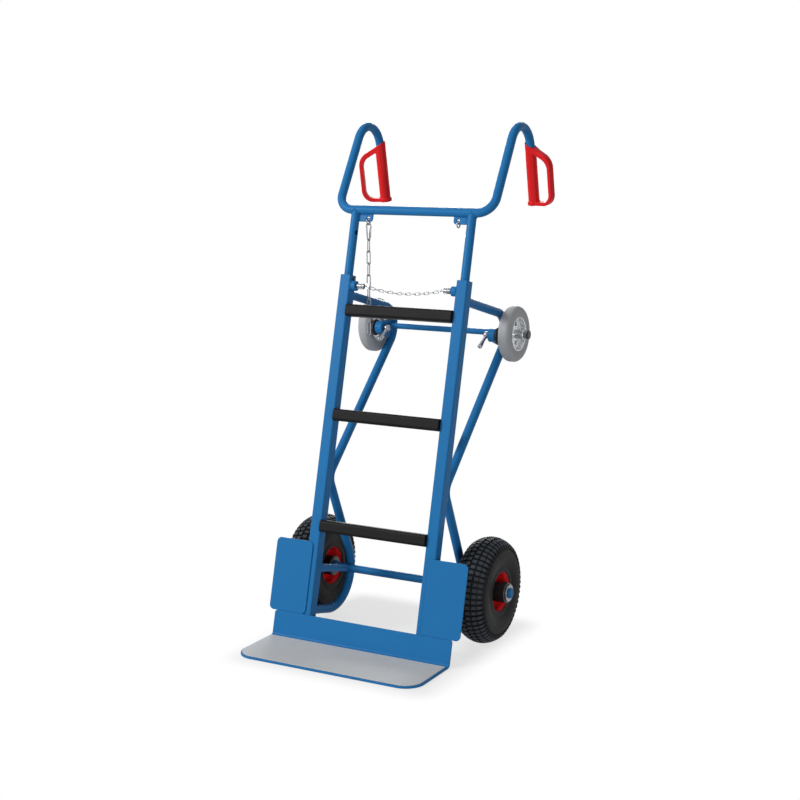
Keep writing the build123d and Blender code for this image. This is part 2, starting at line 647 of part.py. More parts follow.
# Support wheels: solid tyre on a pressed steel rim, with a bush in its hub tube
support_half = SUPPORT_TYRE_WIDTH / 2
for sign, side in SIDES:
    wheel_section = section_plane(sign * SUPPORT_X, SUPPORT_AXLE)
    wheel_axis = Axis((sign * SUPPORT_X, SUPPORT_AXLE.Y, SUPPORT_AXLE.Z), (1, 0, 0))

    with BuildPart() as support_tyre:
        with BuildSketch(wheel_section) as support_tyre_section:
            with Locations((0, (SUPPORT_WHEEL_D / 2 + SUPPORT_RIM_R + SLIDING_FIT) / 2)):
                Rectangle(SUPPORT_TYRE_WIDTH, SUPPORT_WHEEL_D / 2 - SUPPORT_RIM_R - SLIDING_FIT)
            fillet(support_tyre_section.vertices().group_by(Axis.Y)[-1], SUPPORT_TYRE_CORNER)
        revolve(axis=wheel_axis)
    keep(support_tyre.part, f"support_tyre_{side}")

    web_out = SUPPORT_RIM_T * 2
    with BuildPart() as support_rim:
        with BuildSketch(wheel_section):
            with Locations((0, SUPPORT_RIM_R - SUPPORT_RIM_T / 2)):
                Rectangle(SUPPORT_TYRE_WIDTH - 2 * SUPPORT_RIM_T, SUPPORT_RIM_T)
            with Locations((0, (SUPPORT_RIM_R + SUPPORT_HUB_R - SUPPORT_BUSH_T) / 2)):
                Rectangle(SUPPORT_RIM_T, SUPPORT_RIM_R - SUPPORT_HUB_R + SUPPORT_BUSH_T - SUPPORT_RIM_T)
            hub_mid = sign * (SUPPORT_HUB_OUT - SUPPORT_HUB_IN) / 2
            with Locations((hub_mid, SUPPORT_HUB_R - SUPPORT_BUSH_T / 4)):
                Rectangle(SUPPORT_HUB_IN + SUPPORT_HUB_OUT, SUPPORT_BUSH_T / 2)
        revolve(axis=wheel_axis)
        with BuildSketch(cross_plane(sign * SUPPORT_X, SUPPORT_AXLE)):
            with PolarLocations(RIM_HOLE_CIRCLE_R, RIM_HOLES):
                Circle(RIM_HOLE_R)
        extrude(amount=web_out, both=True, mode=Mode.SUBTRACT)
    keep(support_rim.part, f"support_rim_{side}")

    with BuildPart() as support_bush:
        with BuildSketch(cross_plane(sign * (SUPPORT_X - SUPPORT_HUB_IN), SUPPORT_AXLE)):
            Circle(SUPPORT_HUB_R - SUPPORT_BUSH_T / 2 - RUNNING_FIT)
            Circle(SUPPORT_AXLE_R + RUNNING_FIT, mode=Mode.SUBTRACT)
        extrude(amount=sign * (SUPPORT_HUB_IN + SUPPORT_HUB_OUT))
    keep(support_bush.part, f"support_bush_{side}")

# Brakes: a pad that the lever's screw pushes against the inside of the support wheel
pad_out_x = SUPPORT_X - support_half - PAD_FREE_GAP - PAD_STROKE
pad_in_x = pad_out_x - PAD_T
lever_x = boss_in_x - WELD_GAP - LEVER_HUB_R
stub_end_x = boss_in_x + BRAKE_STEM_R
for sign, side in SIDES:
    with BuildPart() as brake_pad:
        with BuildSketch(cross_plane(sign * pad_in_x, BRAKE)):
            Circle(PAD_R)
        extrude(amount=sign * PAD_T)
        chamfer(brake_pad.edges().filter_by(GeomType.CIRCLE), PAD_T / 5)
        with BuildSketch(cross_plane(sign * pad_in_x, BRAKE)):
            Circle(BRAKE_STEM_R)
        extrude(amount=-sign * (pad_in_x - stub_end_x - PAD_FREE_GAP))
    keep(brake_pad.part, f"brake_pad_{side}")

    lever_run = Vector(0, -cos(radians(LEVER_DIP)), -sin(radians(LEVER_DIP)))
    knob_diag = LEVER_KNOB_R * sin(radians(45))
    lever_root = Vector(sign * lever_x, BRAKE.Y, BRAKE.Z)
    lever_plane = Plane(lever_root, x_dir=lever_run, z_dir=(1, 0, 0))
    with BuildPart() as brake_lever:
        with BuildSketch(lever_plane):
            with BuildLine():
                Polyline((0, 0), (0, LEVER_ROOT_R), (LEVER_REACH / 2, LEVER_WAIST_R),
                         (LEVER_REACH, LEVER_KNOB_R))
                ThreePointArc((LEVER_REACH, LEVER_KNOB_R),
                              (LEVER_REACH + knob_diag, knob_diag),
                              (LEVER_REACH + LEVER_KNOB_R, 0))
                Line((LEVER_REACH + LEVER_KNOB_R, 0), (0, 0))
            make_face()
        revolve(axis=Axis(lever_root, lever_run))
        ball_half = sqrt(LEVER_HUB_R**2 - BRAKE_STEM_R**2)
        with BuildSketch(section_plane(sign * lever_x, BRAKE)):
            with BuildLine():
                ThreePointArc((-sign * LEVER_HUB_R, 0), (0, LEVER_HUB_R), (sign * ball_half, BRAKE_STEM_R))
                Polyline((sign * ball_half, BRAKE_STEM_R), (sign * (stub_end_x - lever_x), BRAKE_STEM_R),
                         (sign * (stub_end_x - lever_x), 0), (-sign * LEVER_HUB_R, 0))
            make_face()
        revolve(axis=Axis(lever_root, (1, 0, 0)))
    keep(brake_lever.part, f"brake_lever_{side}")

# Handle bow: one tube from grip to grip by way of the crossbar
arm_run = BACK * sin(radians(ARM_TILT)) + UP * cos(radians(ARM_TILT))
grip_run = BACK * sin(radians(GRIP_TILT)) - UP * cos(radians(GRIP_TILT))
hairpin_turn = 180 - ARM_TILT - GRIP_TILT
hairpin_tangent = HAIRPIN_R * tan(radians(hairpin_turn / 2))
bow_line_points = {}
for sign, side in SIDES:
    crossbar_corner = place(sign * ARM_X, RAIL_MID, CROSSBAR_HEIGHT)
    hairpin_corner = crossbar_corner + arm_run * (ARM_LENGTH + hairpin_tangent)
    grip_top = hairpin_corner + grip_run * hairpin_tangent
    tube_end = grip_top + grip_run * (GRIP_LENGTH - GRIP_END - SLIDING_FIT)
    bow_line_points[side] = (tube_end, hairpin_corner, crossbar_corner)
with BuildPart() as handle_bow:
    with BuildLine() as bow_line:
        FilletPolyline(
            *bow_line_points["left"],
            *reversed(bow_line_points["right"]),
            radius=(HAIRPIN_R, ELBOW_R, ELBOW_R, HAIRPIN_R),
        )
    with BuildSketch(Plane(bow_line_points["left"][0], x_dir=(1, 0, 0), z_dir=-grip_run)):
        Circle(BOW_R)
        Circle(BOW_R - BOW_WALL, mode=Mode.SUBTRACT)
    sweep(path=bow_line.wires()[0])
keep(handle_bow.part, "handle_bow")

# Bow legs: saddled on the crossbar, with an index hole at the lock pin and one a travel above it
leg_foot = LOCK_HEIGHT - LEG_BELOW_LOCK
for sign, side in SIDES:
    with BuildPart() as bow_leg:
        with BuildSketch(rail_plane(sign * RAIL_X, RAIL_MID, leg_foot)):
            Circle(BOW_R)
            Circle(BOW_R - BOW_WALL, mode=Mode.SUBTRACT)
        extrude(amount=CROSSBAR_HEIGHT - leg_foot)
        with BuildSketch(side_plane(sign * (RAIL_X - BOW_D))):
            with Locations((RAIL_MID, CROSSBAR_HEIGHT)):
                Circle(BOW_R + SLIDING_FIT)
        extrude(amount=sign * 2 * BOW_D, mode=Mode.SUBTRACT)
        with BuildSketch(side_plane(sign * (RAIL_X - BOW_D))):
            with Locations((LOCK_BACK, LOCK_HEIGHT), (LOCK_BACK, LOCK_HEIGHT + LEG_TRAVEL)):
                Circle(INDEX_HOLE_R)
        extrude(amount=sign * BOW_D, mode=Mode.SUBTRACT)
    keep(bow_leg.part, f"bow_leg_{side}")

# Guide bushes in the rails' tops, each with a button snapped through the rail, and slide plugs on
# the legs' feet
with BuildPart() as leg_guides:
    for sign, side in SIDES:
        with BuildSketch(rail_plane(sign * RAIL_X, RAIL_MID, RAIL_TOP - GUIDE_L)):
            RectangleRounded(RAIL_BORE - 2 * RUNNING_FIT, RAIL_BORE - 2 * RUNNING_FIT, RAIL_BORE_CORNER)
            Circle(BOW_R + RUNNING_FIT, mode=Mode.SUBTRACT)
        extrude(amount=GUIDE_L - WELD_GAP)
        button_x = RAIL_IN_X + RAIL_WALL + RUNNING_FIT + BUTTON_ROOT
        with BuildSketch(side_plane(sign * (RAIL_IN_X - BUTTON_PROUD))):
            with Locations((RAIL_MID, RAIL_TOP - GUIDE_L / 2)):
                Circle(BUTTON_R)
        extrude(amount=sign * (button_x - RAIL_IN_X + BUTTON_PROUD))
keep(leg_guides.part, "leg_guides")

with BuildPart() as leg_plugs:
    for sign, side in SIDES:
        with BuildSketch(rail_plane(sign * RAIL_X, RAIL_MID, leg_foot - PLUG_L)):
            Circle(RAIL_BORE / 2 - SLIDING_FIT)
        extrude(amount=PLUG_L)
        with BuildSketch(rail_plane(sign * RAIL_X, RAIL_MID, leg_foot)):
            Circle(BOW_R - BOW_WALL - RUNNING_FIT)
        extrude(amount=PLUG_L)
keep(leg_plugs.part, "leg_plugs")

# Gussets between the legs and the crossbar, with an eye for a ring
gusset_low = CROSSBAR_HEIGHT - BOW_R - GUSSET_H
with BuildPart() as bow_gussets:
    for sign, side in SIDES:
        with BuildSketch(front_plane(GUSSET_BACK)) as gusset_outline:
            with Locations((sign * (RAIL_X - GUSSET_W / 2 - BOW_R / 2), (gusset_low + CROSSBAR_HEIGHT) / 2)):
                Rectangle(GUSSET_W + BOW_R, CROSSBAR_HEIGHT - gusset_low)
            low_corners = gusset_outline.vertices().sort_by_distance((0, gusset_low))
            fillet(low_corners[0], GUSSET_CORNER)
            with Locations((sign * EYE_X, CROSSBAR_HEIGHT - EYE_DROP)):
                Circle(EYE_R, mode=Mode.SUBTRACT)
        extrude(amount=GUSSET_T / 2, both=True)
    for sign, side in SIDES:
        with BuildSketch(rail_plane(sign * RAIL_X, RAIL_MID, leg_foot)):
            Circle(BOW_R + SLIDING_FIT)
        extrude(amount=CROSSBAR_HEIGHT, mode=Mode.SUBTRACT)
    with BuildSketch(side_plane(-ARM_X)):
        with Locations((RAIL_MID, CROSSBAR_HEIGHT)):
            Circle(BOW_R + SLIDING_FIT)
    extrude(amount=2 * ARM_X, mode=Mode.SUBTRACT)
keep(bow_gussets.part, "bow_gussets")

# Grips: a sleeve on each end of the bow with a knuckle guard, swung a little forwards, on its outer
# side. The guard's upper line runs on across the sleeve's mouth.
guard_fall = tan(radians(KNUCKLE_SLOPE))
gap_reach = KNUCKLE_REACH - KNUCKLE_BAND
gap_top = KNUCKLE_STRAP - KNUCKLE_RISE
gap_foot = GRIP_LENGTH - KNUCKLE_BAND
mouth_rise = KNUCKLE_RISE + 2 * GRIP_R * guard_fall
grip_front = BACK * -cos(radians(GRIP_TILT)) - UP * sin(radians(GRIP_TILT))
guard_half = KNUCKLE_WIDTH / 2
for sign, side in SIDES:
    grip_top = bow_line_points[side][1] + grip_run * hairpin_tangent
    outward = Vector(sign, 0, 0) * cos(radians(KNUCKLE_SWING)) + grip_front * sin(radians(KNUCKLE_SWING))
    guard_plane = Plane(grip_top, x_dir=outward, z_dir=outward.cross(grip_run))
    grip_axis = Axis(grip_top, grip_run)
    with BuildPart() as sleeve:
        with BuildSketch(Plane(grip_top - grip_run * mouth_rise, x_dir=outward, z_dir=grip_run)):
            Circle(GRIP_R)
        extrude(amount=GRIP_LENGTH + mouth_rise)
        with BuildSketch(guard_plane):
            with BuildLine():
                Polyline(
                    (-2 * GRIP_R, -mouth_rise),
                    (2 * GRIP_R, 2 * GRIP_R * guard_fall - KNUCKLE_RISE),
                    (2 * GRIP_R, -2 * mouth_rise),
                    (-2 * GRIP_R, -2 * mouth_rise),
                    close=True,
                )
            make_face()
        extrude(amount=2 * GRIP_R, both=True, mode=Mode.SUBTRACT)
        with BuildSketch(Plane(grip_top + grip_run * GRIP_LENGTH, x_dir=outward, z_dir=grip_run)):
            Circle(GRIP_RIM_R)
        extrude(amount=-GRIP_RIM_L)
    with BuildPart() as grip:
        with BuildSketch(guard_plane) as knuckle_outline:
            with BuildLine():
                Polyline((0, -KNUCKLE_RISE), (KNUCKLE_REACH, KNUCKLE_REACH * guard_fall - KNUCKLE_RISE),
                         (KNUCKLE_REACH, GRIP_LENGTH), (0, GRIP_LENGTH), close=True)
            make_face()
            top_corner = knuckle_outline.vertices().group_by(Axis.X)[-1].sort_by(Axis.Y)[0]
            fillet(top_corner, KNUCKLE_TOP_R)
            low_corner = knuckle_outline.vertices().group_by(Axis.X)[-1].sort_by(Axis.Y)[-1]
            fillet(low_corner, KNUCKLE_LOW_R)
        extrude(amount=GRIP_R, both=True)
        with BuildSketch(Plane(grip_top - grip_run * mouth_rise, x_dir=outward, z_dir=grip_run)):
            with BuildLine():
                Polyline((0, -GRIP_R), (gap_reach / 2, -guard_half), (2 * KNUCKLE_REACH, -guard_half),
                         (2 * KNUCKLE_REACH, guard_half), (gap_reach / 2, guard_half), (0, GRIP_R),
                         close=True)
            make_face()
        extrude(amount=GRIP_LENGTH + 2 * mouth_rise, mode=Mode.INTERSECT)
        with BuildSketch(guard_plane) as knuckle_gap:
            with BuildLine():
                Polyline((0, gap_top), (gap_reach, gap_top + gap_reach * guard_fall), (gap_reach, gap_foot),
                         (0, gap_foot), close=True)
            make_face()
            top_corner = knuckle_gap.vertices().group_by(Axis.X)[-1].sort_by(Axis.Y)[0]
            fillet(top_corner, KNUCKLE_TOP_R - KNUCKLE_BAND)
            low_corner = knuckle_gap.vertices().group_by(Axis.X)[-1].sort_by(Axis.Y)[-1]
            fillet(low_corner, KNUCKLE_LOW_R - KNUCKLE_BAND)
        extrude(amount=2 * GRIP_R, both=True, mode=Mode.SUBTRACT)
        add(sleeve.part)
        with BuildSketch(Plane(grip_top, x_dir=outward, z_dir=grip_run)):
            Circle(BOW_R + SLIDING_FIT)
        extrude(amount=GRIP_LENGTH - GRIP_END, mode=Mode.SUBTRACT)
        with BuildSketch(guard_plane):
            with BuildLine():
                Polyline((0, 0), (BOW_R + SLIDING_FIT, 0), (BOW_R + SLIDING_FIT + GRIP_MOUTH, -mouth_rise),
                         (0, -mouth_rise), close=True)
            make_face()
        revolve(axis=grip_axis, mode=Mode.SUBTRACT)
    keep(grip.part, f"grip_{side}")

# Lock: spring bosses on the rails' inner faces and pull pins, drawn clear of the legs
boss_face_x = RAIL_IN_X - BOSS_L
chamber_x = boss_face_x + BOSS_END
nose_x = RAIL_X - BOW_R - PIN_REST_GAP
collar_out_x = RAIL_IN_X - PIN_STROKE - PIN_REST_GAP
collar_in_x = collar_out_x - PIN_COLLAR_T
knob_out_x = boss_face_x - PIN_STROKE - PIN_REST_GAP
knob_in_x = knob_out_x - KNOB_L
tang_eye_x = knob_in_x - TANG_L / 2
LOCK = place(0, LOCK_BACK, LOCK_HEIGHT)
for sign, side in SIDES:
    with BuildPart() as lock_boss:
        with BuildSketch(side_plane(sign * boss_face_x)):
            with Locations((LOCK_BACK, LOCK_HEIGHT)):
                Circle(BOSS_R)
        extrude(amount=sign * BOSS_L)
        with BuildSketch(side_plane(sign * chamber_x)):
            with Locations((LOCK_BACK, LOCK_HEIGHT)):
                Circle(SPRING_BORE_R)
        extrude(amount=sign * BOSS_L, mode=Mode.SUBTRACT)
        with BuildSketch(side_plane(sign * boss_face_x)):
            with Locations((LOCK_BACK, LOCK_HEIGHT)):
                Circle(PIN_R + RUNNING_FIT)
        extrude(amount=sign * BOSS_L, mode=Mode.SUBTRACT)
    keep(lock_boss.part, f"lock_boss_{side}")

    with BuildPart() as lock_pin:
        with BuildSketch(side_plane(sign * nose_x)):
            with Locations((LOCK_BACK, LOCK_HEIGHT)):
                Circle(PIN_R)
        extrude(amount=-sign * (nose_x - knob_out_x))
        with BuildSketch(side_plane(sign * collar_in_x)):
            with Locations((LOCK_BACK, LOCK_HEIGHT)):
                Circle(SPRING_BORE_R - PIN_REST_GAP)
        extrude(amount=sign * PIN_COLLAR_T)
        with BuildSketch(side_plane(sign * knob_in_x)):
            with Locations((LOCK_BACK, LOCK_HEIGHT)):
                Circle(KNOB_R)
        extrude(amount=sign * KNOB_L)
        with BuildSketch(front_plane(LOCK_BACK)):
            with Locations((sign * (knob_in_x - TANG_L / 4), LOCK_HEIGHT)):
                Rectangle(TANG_L / 2, 2 * KNOB_R)
            with Locations((sign * tang_eye_x, LOCK_HEIGHT)):
                Circle(KNOB_R)
                Circle(TANG_EYE_R, mode=Mode.SUBTRACT)
        extrude(amount=TANG_T / 2, both=True)
    keep(lock_pin.part, f"lock_pin_{side}")

# Lock springs: coils round the pins inside the bosses, pressed between boss end and collar
spring_r = (SPRING_BORE_R + PIN_R) / 2
spring_length = collar_in_x - chamber_x - SPRING_WIRE - 2 * SLIDING_FIT
with BuildPart() as lock_springs:
    for sign, side in SIDES:
        coil_start = (sign * (chamber_x + SLIDING_FIT + SPRING_WIRE / 2), LOCK.Y, LOCK.Z)
        with BuildLine() as coil:
            Helix(spring_length / SPRING_TURNS, spring_length, spring_r, coil_start, (sign, 0, 0))
        with BuildSketch(Plane(coil.line @ 0, z_dir=coil.line % 0)):
            Circle(SPRING_WIRE / 2)
        sweep(path=coil.line, is_frenet=True)
keep(lock_springs.part, "lock_springs")

# Lock chain: links along a shallow sag between the pins' eyes, alternately upright and flat
chain_eye_x = tang_eye_x + TANG_EYE_R - LINK_PLAY - LOCK_WIRE / 2
curve_share = (1 + 2 / 3 * (LOCK_SAG / chain_eye_x) ** 2) / (LOCK_LINKS - 1)
chain_end_x = (chain_eye_x - LOCK_WIRE / 2 - LINK_PLAY / 2) / (1 + curve_share)
lock_pitch = 2 * chain_end_x * curve_share + LINK_PLAY
with BuildPart() as lock_chain:
    for index in range(LOCK_LINKS):
        link_x = chain_end_x * (2 * index / (LOCK_LINKS - 1) - 1)
        slope = Vector(1, 0, 2 * LOCK_SAG * link_x / chain_eye_x**2).normalized()
        centre = Vector(link_x, LOCK.Y, LOCK.Z - LOCK_SAG * (1 - (link_x / chain_eye_x) ** 2))
        flat_way = Vector(0, 1, 0) if index % 2 else slope.cross(Vector(0, 1, 0))
        link_plane = Plane(centre, x_dir=slope, z_dir=flat_way)
        with BuildSketch(link_plane, mode=Mode.PRIVATE) as link_line:
            SlotOverall(lock_pitch + LOCK_WIRE, LOCK_WIDTH - LOCK_WIRE)
        link_path = link_line.sketch.wires()[0]
        with BuildSketch(Plane(link_path @ 0, z_dir=link_path % 0)):
            Circle(LOCK_WIRE / 2)
        sweep(path=link_path)
keep(lock_chain.part, "lock_chain")

# Rings in the gusset eyes
ring_r = RING_R - RING_WIRE / 2
ring_bore_r = ring_r - RING_WIRE / 2
eye_edge_y = EYE_R * UP.Y + GUSSET_T / 2 * BACK.Y
eye_edge_z = EYE_R * UP.Z + GUSSET_T / 2 * BACK.Z
ring_climb = ring_bore_r - sqrt(ring_bore_r**2 - eye_edge_y**2)
ring_drop = eye_edge_z - RING_WIRE / 2 - LINK_PLAY - ring_climb
with BuildPart() as bow_rings:
    for sign, side in SIDES:
        eye = place(sign * EYE_X, GUSSET_BACK, CROSSBAR_HEIGHT - EYE_DROP)
        ring_centre = eye - Vector(0, 0, ring_drop + ring_r)
        with BuildSketch(Plane(ring_centre + Vector(0, ring_r, 0))):
            Circle(RING_WIRE / 2)
        revolve(axis=Axis(ring_centre, (1, 0, 0)))
keep(bow_rings.part, "bow_rings")

# Snap hook on the left ring, wider at its top, then the load chain hanging from the hook
eye_left = place(-EYE_X, GUSSET_BACK, CROSSBAR_HEIGHT - EYE_DROP)
ring_foot = eye_left - Vector(0, 0, ring_drop + 2 * ring_r + RING_WIRE / 2)
hook_top = ring_foot + Vector(0, 0, RING_WIRE + LINK_PLAY + HOOK_WIRE)
hook_centre = hook_top - Vector(0, 0, HOOK_LENGTH / 2)
with BuildPart() as snap_hook:
    with BuildSketch(Plane(hook_centre, x_dir=(0, 0, -1), z_dir=(0, 1, 0)), mode=Mode.PRIVATE) as hook_line:
        with Locations((-(HOOK_LENGTH - HOOK_TOP_W) / 2, 0)):
            Circle((HOOK_TOP_W - HOOK_WIRE) / 2)
        with Locations(((HOOK_LENGTH - HOOK_LOW_W) / 2, 0)):
            Circle((HOOK_LOW_W - HOOK_WIRE) / 2)
        make_hull()
    hook_path = hook_line.sketch.wires()[0]
    with BuildSketch(Plane(hook_path @ 0, z_dir=hook_path % 0)):
        Circle(HOOK_WIRE / 2)
    sweep(path=hook_path)
keep(snap_hook.part, "snap_hook")

hook_seat = hook_top - Vector(0, 0, HOOK_LENGTH - HOOK_WIRE)
first_link = hook_seat + Vector(0, 0, LINK_PLAY - LOAD_PITCH / 2)
with BuildPart() as load_chain:
    for index in range(LOAD_LINKS):
        centre = first_link - Vector(0, 0, index * (LOAD_PITCH - LINK_PLAY))
        flat_way = (0, 1, 0) if index % 2 else (1, 0, 0)
        link_plane = Plane(centre, x_dir=(0, 0, -1), z_dir=flat_way)
        with BuildSketch(link_plane, mode=Mode.PRIVATE) as link_line:
            SlotOverall(LOAD_PITCH + LOAD_WIRE, LOAD_WIDTH - LOAD_WIRE)
        link_path = link_line.sketch.wires()[0]
        with BuildSketch(Plane(link_path @ 0, z_dir=link_path % 0)):
            Circle(LOAD_WIRE / 2)
        sweep(path=link_path)
keep(load_chain.part, "load_chain")
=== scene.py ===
# %% [markdown]
# # Appliance hand truck
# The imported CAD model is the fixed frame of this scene: rails, rungs, wheels, bow and lock are already in
# place, in metres, with X to the truck's right, Y to its back and Z up. This lesson dresses that frame.
# Tubes keep their CAD shape, plates and pressings get a copy with rounded edges, and the tyres, grips,
# chains, push-on caps, rim beads, hook gate, knurls, valve caps and welds get new meshes, built in place.

# %% Load the frame
import json
from math import atan2, cos, pi, radians, sin, sqrt
import bmesh
import bpy
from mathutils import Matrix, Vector


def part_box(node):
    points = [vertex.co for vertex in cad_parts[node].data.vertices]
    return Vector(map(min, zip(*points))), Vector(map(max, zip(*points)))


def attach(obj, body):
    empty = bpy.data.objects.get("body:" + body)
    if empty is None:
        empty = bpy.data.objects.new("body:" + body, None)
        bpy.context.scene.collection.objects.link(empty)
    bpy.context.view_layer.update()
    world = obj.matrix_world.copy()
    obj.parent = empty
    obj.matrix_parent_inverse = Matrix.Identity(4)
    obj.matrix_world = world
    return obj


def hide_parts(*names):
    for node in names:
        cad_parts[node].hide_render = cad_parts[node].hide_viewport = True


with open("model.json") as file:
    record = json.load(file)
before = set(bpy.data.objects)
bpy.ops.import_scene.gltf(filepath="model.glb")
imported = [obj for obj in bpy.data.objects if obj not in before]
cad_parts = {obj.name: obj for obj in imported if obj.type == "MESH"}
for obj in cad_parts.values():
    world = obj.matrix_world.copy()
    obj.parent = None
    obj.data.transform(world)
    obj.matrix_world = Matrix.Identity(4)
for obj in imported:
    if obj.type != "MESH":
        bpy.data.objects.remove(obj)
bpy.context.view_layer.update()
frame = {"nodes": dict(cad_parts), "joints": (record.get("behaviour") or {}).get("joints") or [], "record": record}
nodes = frame["nodes"]
scene = bpy.context.scene
MM = 0.001
SIDES = ((-1, "left"), (1, "right"))


def hub_place(wheel):
    """The middle of a wheel's hub, in metres."""
    return next(joint["pos_m"] for joint in frame["joints"] if joint["name"] == wheel + "_spin")


# %% [markdown]
# ## Camera
# The camera stands where the photographer stood: a fit to points measured on the truck gave its place,
# its downward tilt and its lens. Depth of field and shift stay off, so any other view works too.


# %% Camera
def new_object(name, data):
    """An object at the origin that holds the data."""
    obj = bpy.data.objects.new(name, data)
    scene.collection.objects.link(obj)
    return obj


CAMERA_PLACE, CAMERA_TILT, CAMERA_TURN = (1.7602889, -2.9150434, 1.2234145), 0.1740497, 0.501565
camera_data = bpy.data.cameras.new("camera")
camera_data.sensor_width = 36.0
camera_data.lens = 68.2485
camera = new_object("camera", camera_data)
camera.location = CAMERA_PLACE
camera.rotation_euler = (pi / 2 - CAMERA_TILT, 0.0, CAMERA_TURN)
scene.camera = camera
print("camera", [round(v, 2) for v in camera.location], "lens", camera_data.lens)

# %% [markdown]
# ## White sweep
# Product pictures are taken on a white sweep that is lit until it blows out. Blowing it out with lamps
# would also wash out the truck, so the world and the floor look white to camera rays and to reflections
# only, and light the truck at a plain level. The floor keeps a share of its real shading under the truck,
# which is what carries the soft shadow, and fades to plain white a hand's breadth outside the footprint.
# Its own paint is a mid grey: a white one would throw too much light back at the sides of the rails.
# World, floor and materials are trees of nodes: `add_node` makes one node and fills its inputs.


# %% World
def add_node(tree, kind, values=None, **settings):
    """A node with its settings, and with its inputs set to constants or linked to sockets."""
    node = tree.nodes.new(kind)
    for name, setting in settings.items():
        setattr(node, name, setting)
    for label, value in (values or {}).items():
        if isinstance(value, bpy.types.NodeSocket):
            tree.links.new(value, node.inputs[label])
        else:
            node.inputs[label].default_value = value
    return node


def math_node(tree, operation, *values):
    """A Math node's output, with each value a number or a socket."""
    return add_node(tree, "ShaderNodeMath", dict(enumerate(values)), operation=operation).outputs[0]


def seen_directly(tree):
    """A mask that is 1 for camera, glossy and transmission rays."""
    path = tree.nodes.new("ShaderNodeLightPath").outputs
    seen = math_node(tree, "MAXIMUM", path["Is Camera Ray"], path["Is Glossy Ray"])
    return math_node(tree, "MAXIMUM", seen, path["Is Transmission Ray"])


def shader_mix(tree, mask, first, second):
    """Two shader nodes mixed by a mask."""
    values = {"Fac": mask, 1: first.outputs[0], 2: second.outputs[0]}
    return add_node(tree, "ShaderNodeMixShader", values).outputs[0]


AMBIENT, SKY_TINT, WHITE = 0.17, (0.96, 0.98, 1.0, 1.0), (1.0, 1.0, 1.0, 1.0)
scene.view_settings.view_transform = "Standard"
world = bpy.data.worlds.new("white sweep")
world.use_nodes = True
scene.world = world
tree = world.node_tree
tree.nodes.clear()
sky_light = add_node(tree, "ShaderNodeBackground", {"Color": SKY_TINT, "Strength": AMBIENT})
sky_white = add_node(tree, "ShaderNodeBackground", {"Color": WHITE, "Strength": 1.0})
sky = shader_mix(tree, seen_directly(tree), sky_light, sky_white)
add_node(tree, "ShaderNodeOutputWorld", {"Surface": sky})
print("world ambient", AMBIENT)


# %% Floor
def vector_node(tree, operation, *values):
    """A Vector Math node's output, which is a number where a length is asked for."""
    node = add_node(tree, "ShaderNodeVectorMath", dict(enumerate(values)), operation=operation)
    return node.outputs["Value" if operation == "LENGTH" else "Vector"]


def object_place(tree):
    """Object coordinates, which are metres in place here."""
    return tree.nodes.new("ShaderNodeTexCoord").outputs["Object"]


FLOOR_REACH, FLOOR_DROP, FLOOR_GREY = 30.0, 0.0004, (0.50, 0.50, 0.505, 1.0)
FOOTPRINT_MIDDLE, FOOTPRINT_HALF = (0.02, 0.19, 0.0), (0.22, 0.255, 1.0)
FADE_WIDTH, FLOOR_GLOW = 0.09, 0.70
corners = [(x * FLOOR_REACH, y * FLOOR_REACH, 0) for x, y in ((-1, -1), (1, -1), (1, 1), (-1, 1))]
floor_mesh = bpy.data.meshes.new("floor")
floor_mesh.from_pydata(corners, [], [(0, 1, 2, 3)])
floor = new_object("floor", floor_mesh)
floor.location = (0, 0, -FLOOR_DROP)
floor_paint = bpy.data.materials.new("white_sweep")
floor_paint.use_nodes = True
tree = floor_paint.node_tree
tree.nodes.clear()
offset = vector_node(tree, "ABSOLUTE", vector_node(tree, "SUBTRACT", object_place(tree), FOOTPRINT_MIDDLE))
outside = vector_node(tree, "SUBTRACT", offset, FOOTPRINT_HALF)
outside = vector_node(tree, "MAXIMUM", outside, (0.0, 0.0, 0.0))
fade = add_node(tree, "ShaderNodeMapRange",
                {"Value": vector_node(tree, "LENGTH", outside), "From Min": 0.0, "From Max": FADE_WIDTH,
                 "To Min": FLOOR_GLOW, "To Max": 1.0}, interpolation_type="SMOOTHSTEP")
floor_matt = add_node(tree, "ShaderNodeBsdfDiffuse", {"Color": FLOOR_GREY})
floor_glow = add_node(tree, "ShaderNodeEmission", {"Color": WHITE, "Strength": 1.0})
floor_mask = math_node(tree, "MULTIPLY", fade.outputs["Result"], seen_directly(tree))
floor_shader = shader_mix(tree, floor_mask, floor_matt, floor_glow)
add_node(tree, "ShaderNodeOutputMaterial", {"Surface": floor_shader})
floor_mesh.materials.append(floor_paint)
print("floor", 2 * FLOOR_REACH, "m across")

# %% [markdown]
# ## Studio lamps
# A key from the front left makes the rails' front faces brighter than their sides and lays a soft streak
# on the tubes. A weaker fill from the right reaches into the rims and the dark sides, a faint lamp above
# lights what faces up, and one behind keeps the back readable when the camera goes round. The ambient
# light stays low, so that round tubes darken to their edges.

# %% Lamps
AIM = Vector((0.0, 0.28, 0.6))
SOFTBOXES = (("key", (-3.1, -3.0, 2.9), 1.5, 226.0), ("fill", (3.0, -2.5, 0.5), 1.3, 56.0),
             ("top", (-0.3, 0.5, 3.9), 1.5, 17.0), ("back", (-1.7, 3.9, 1.7), 1.6, 85.0))
for name, place, size, power in SOFTBOXES:
    light = bpy.data.lights.new(name, "AREA")
    light.size = size
    light.energy = power
    lamp = new_object(name, light)
    lamp.location = place
    lamp.rotation_euler = (AIM - Vector(place)).to_track_quat("-Z", "Y").to_euler()
print(len(SOFTBOXES), "softboxes")

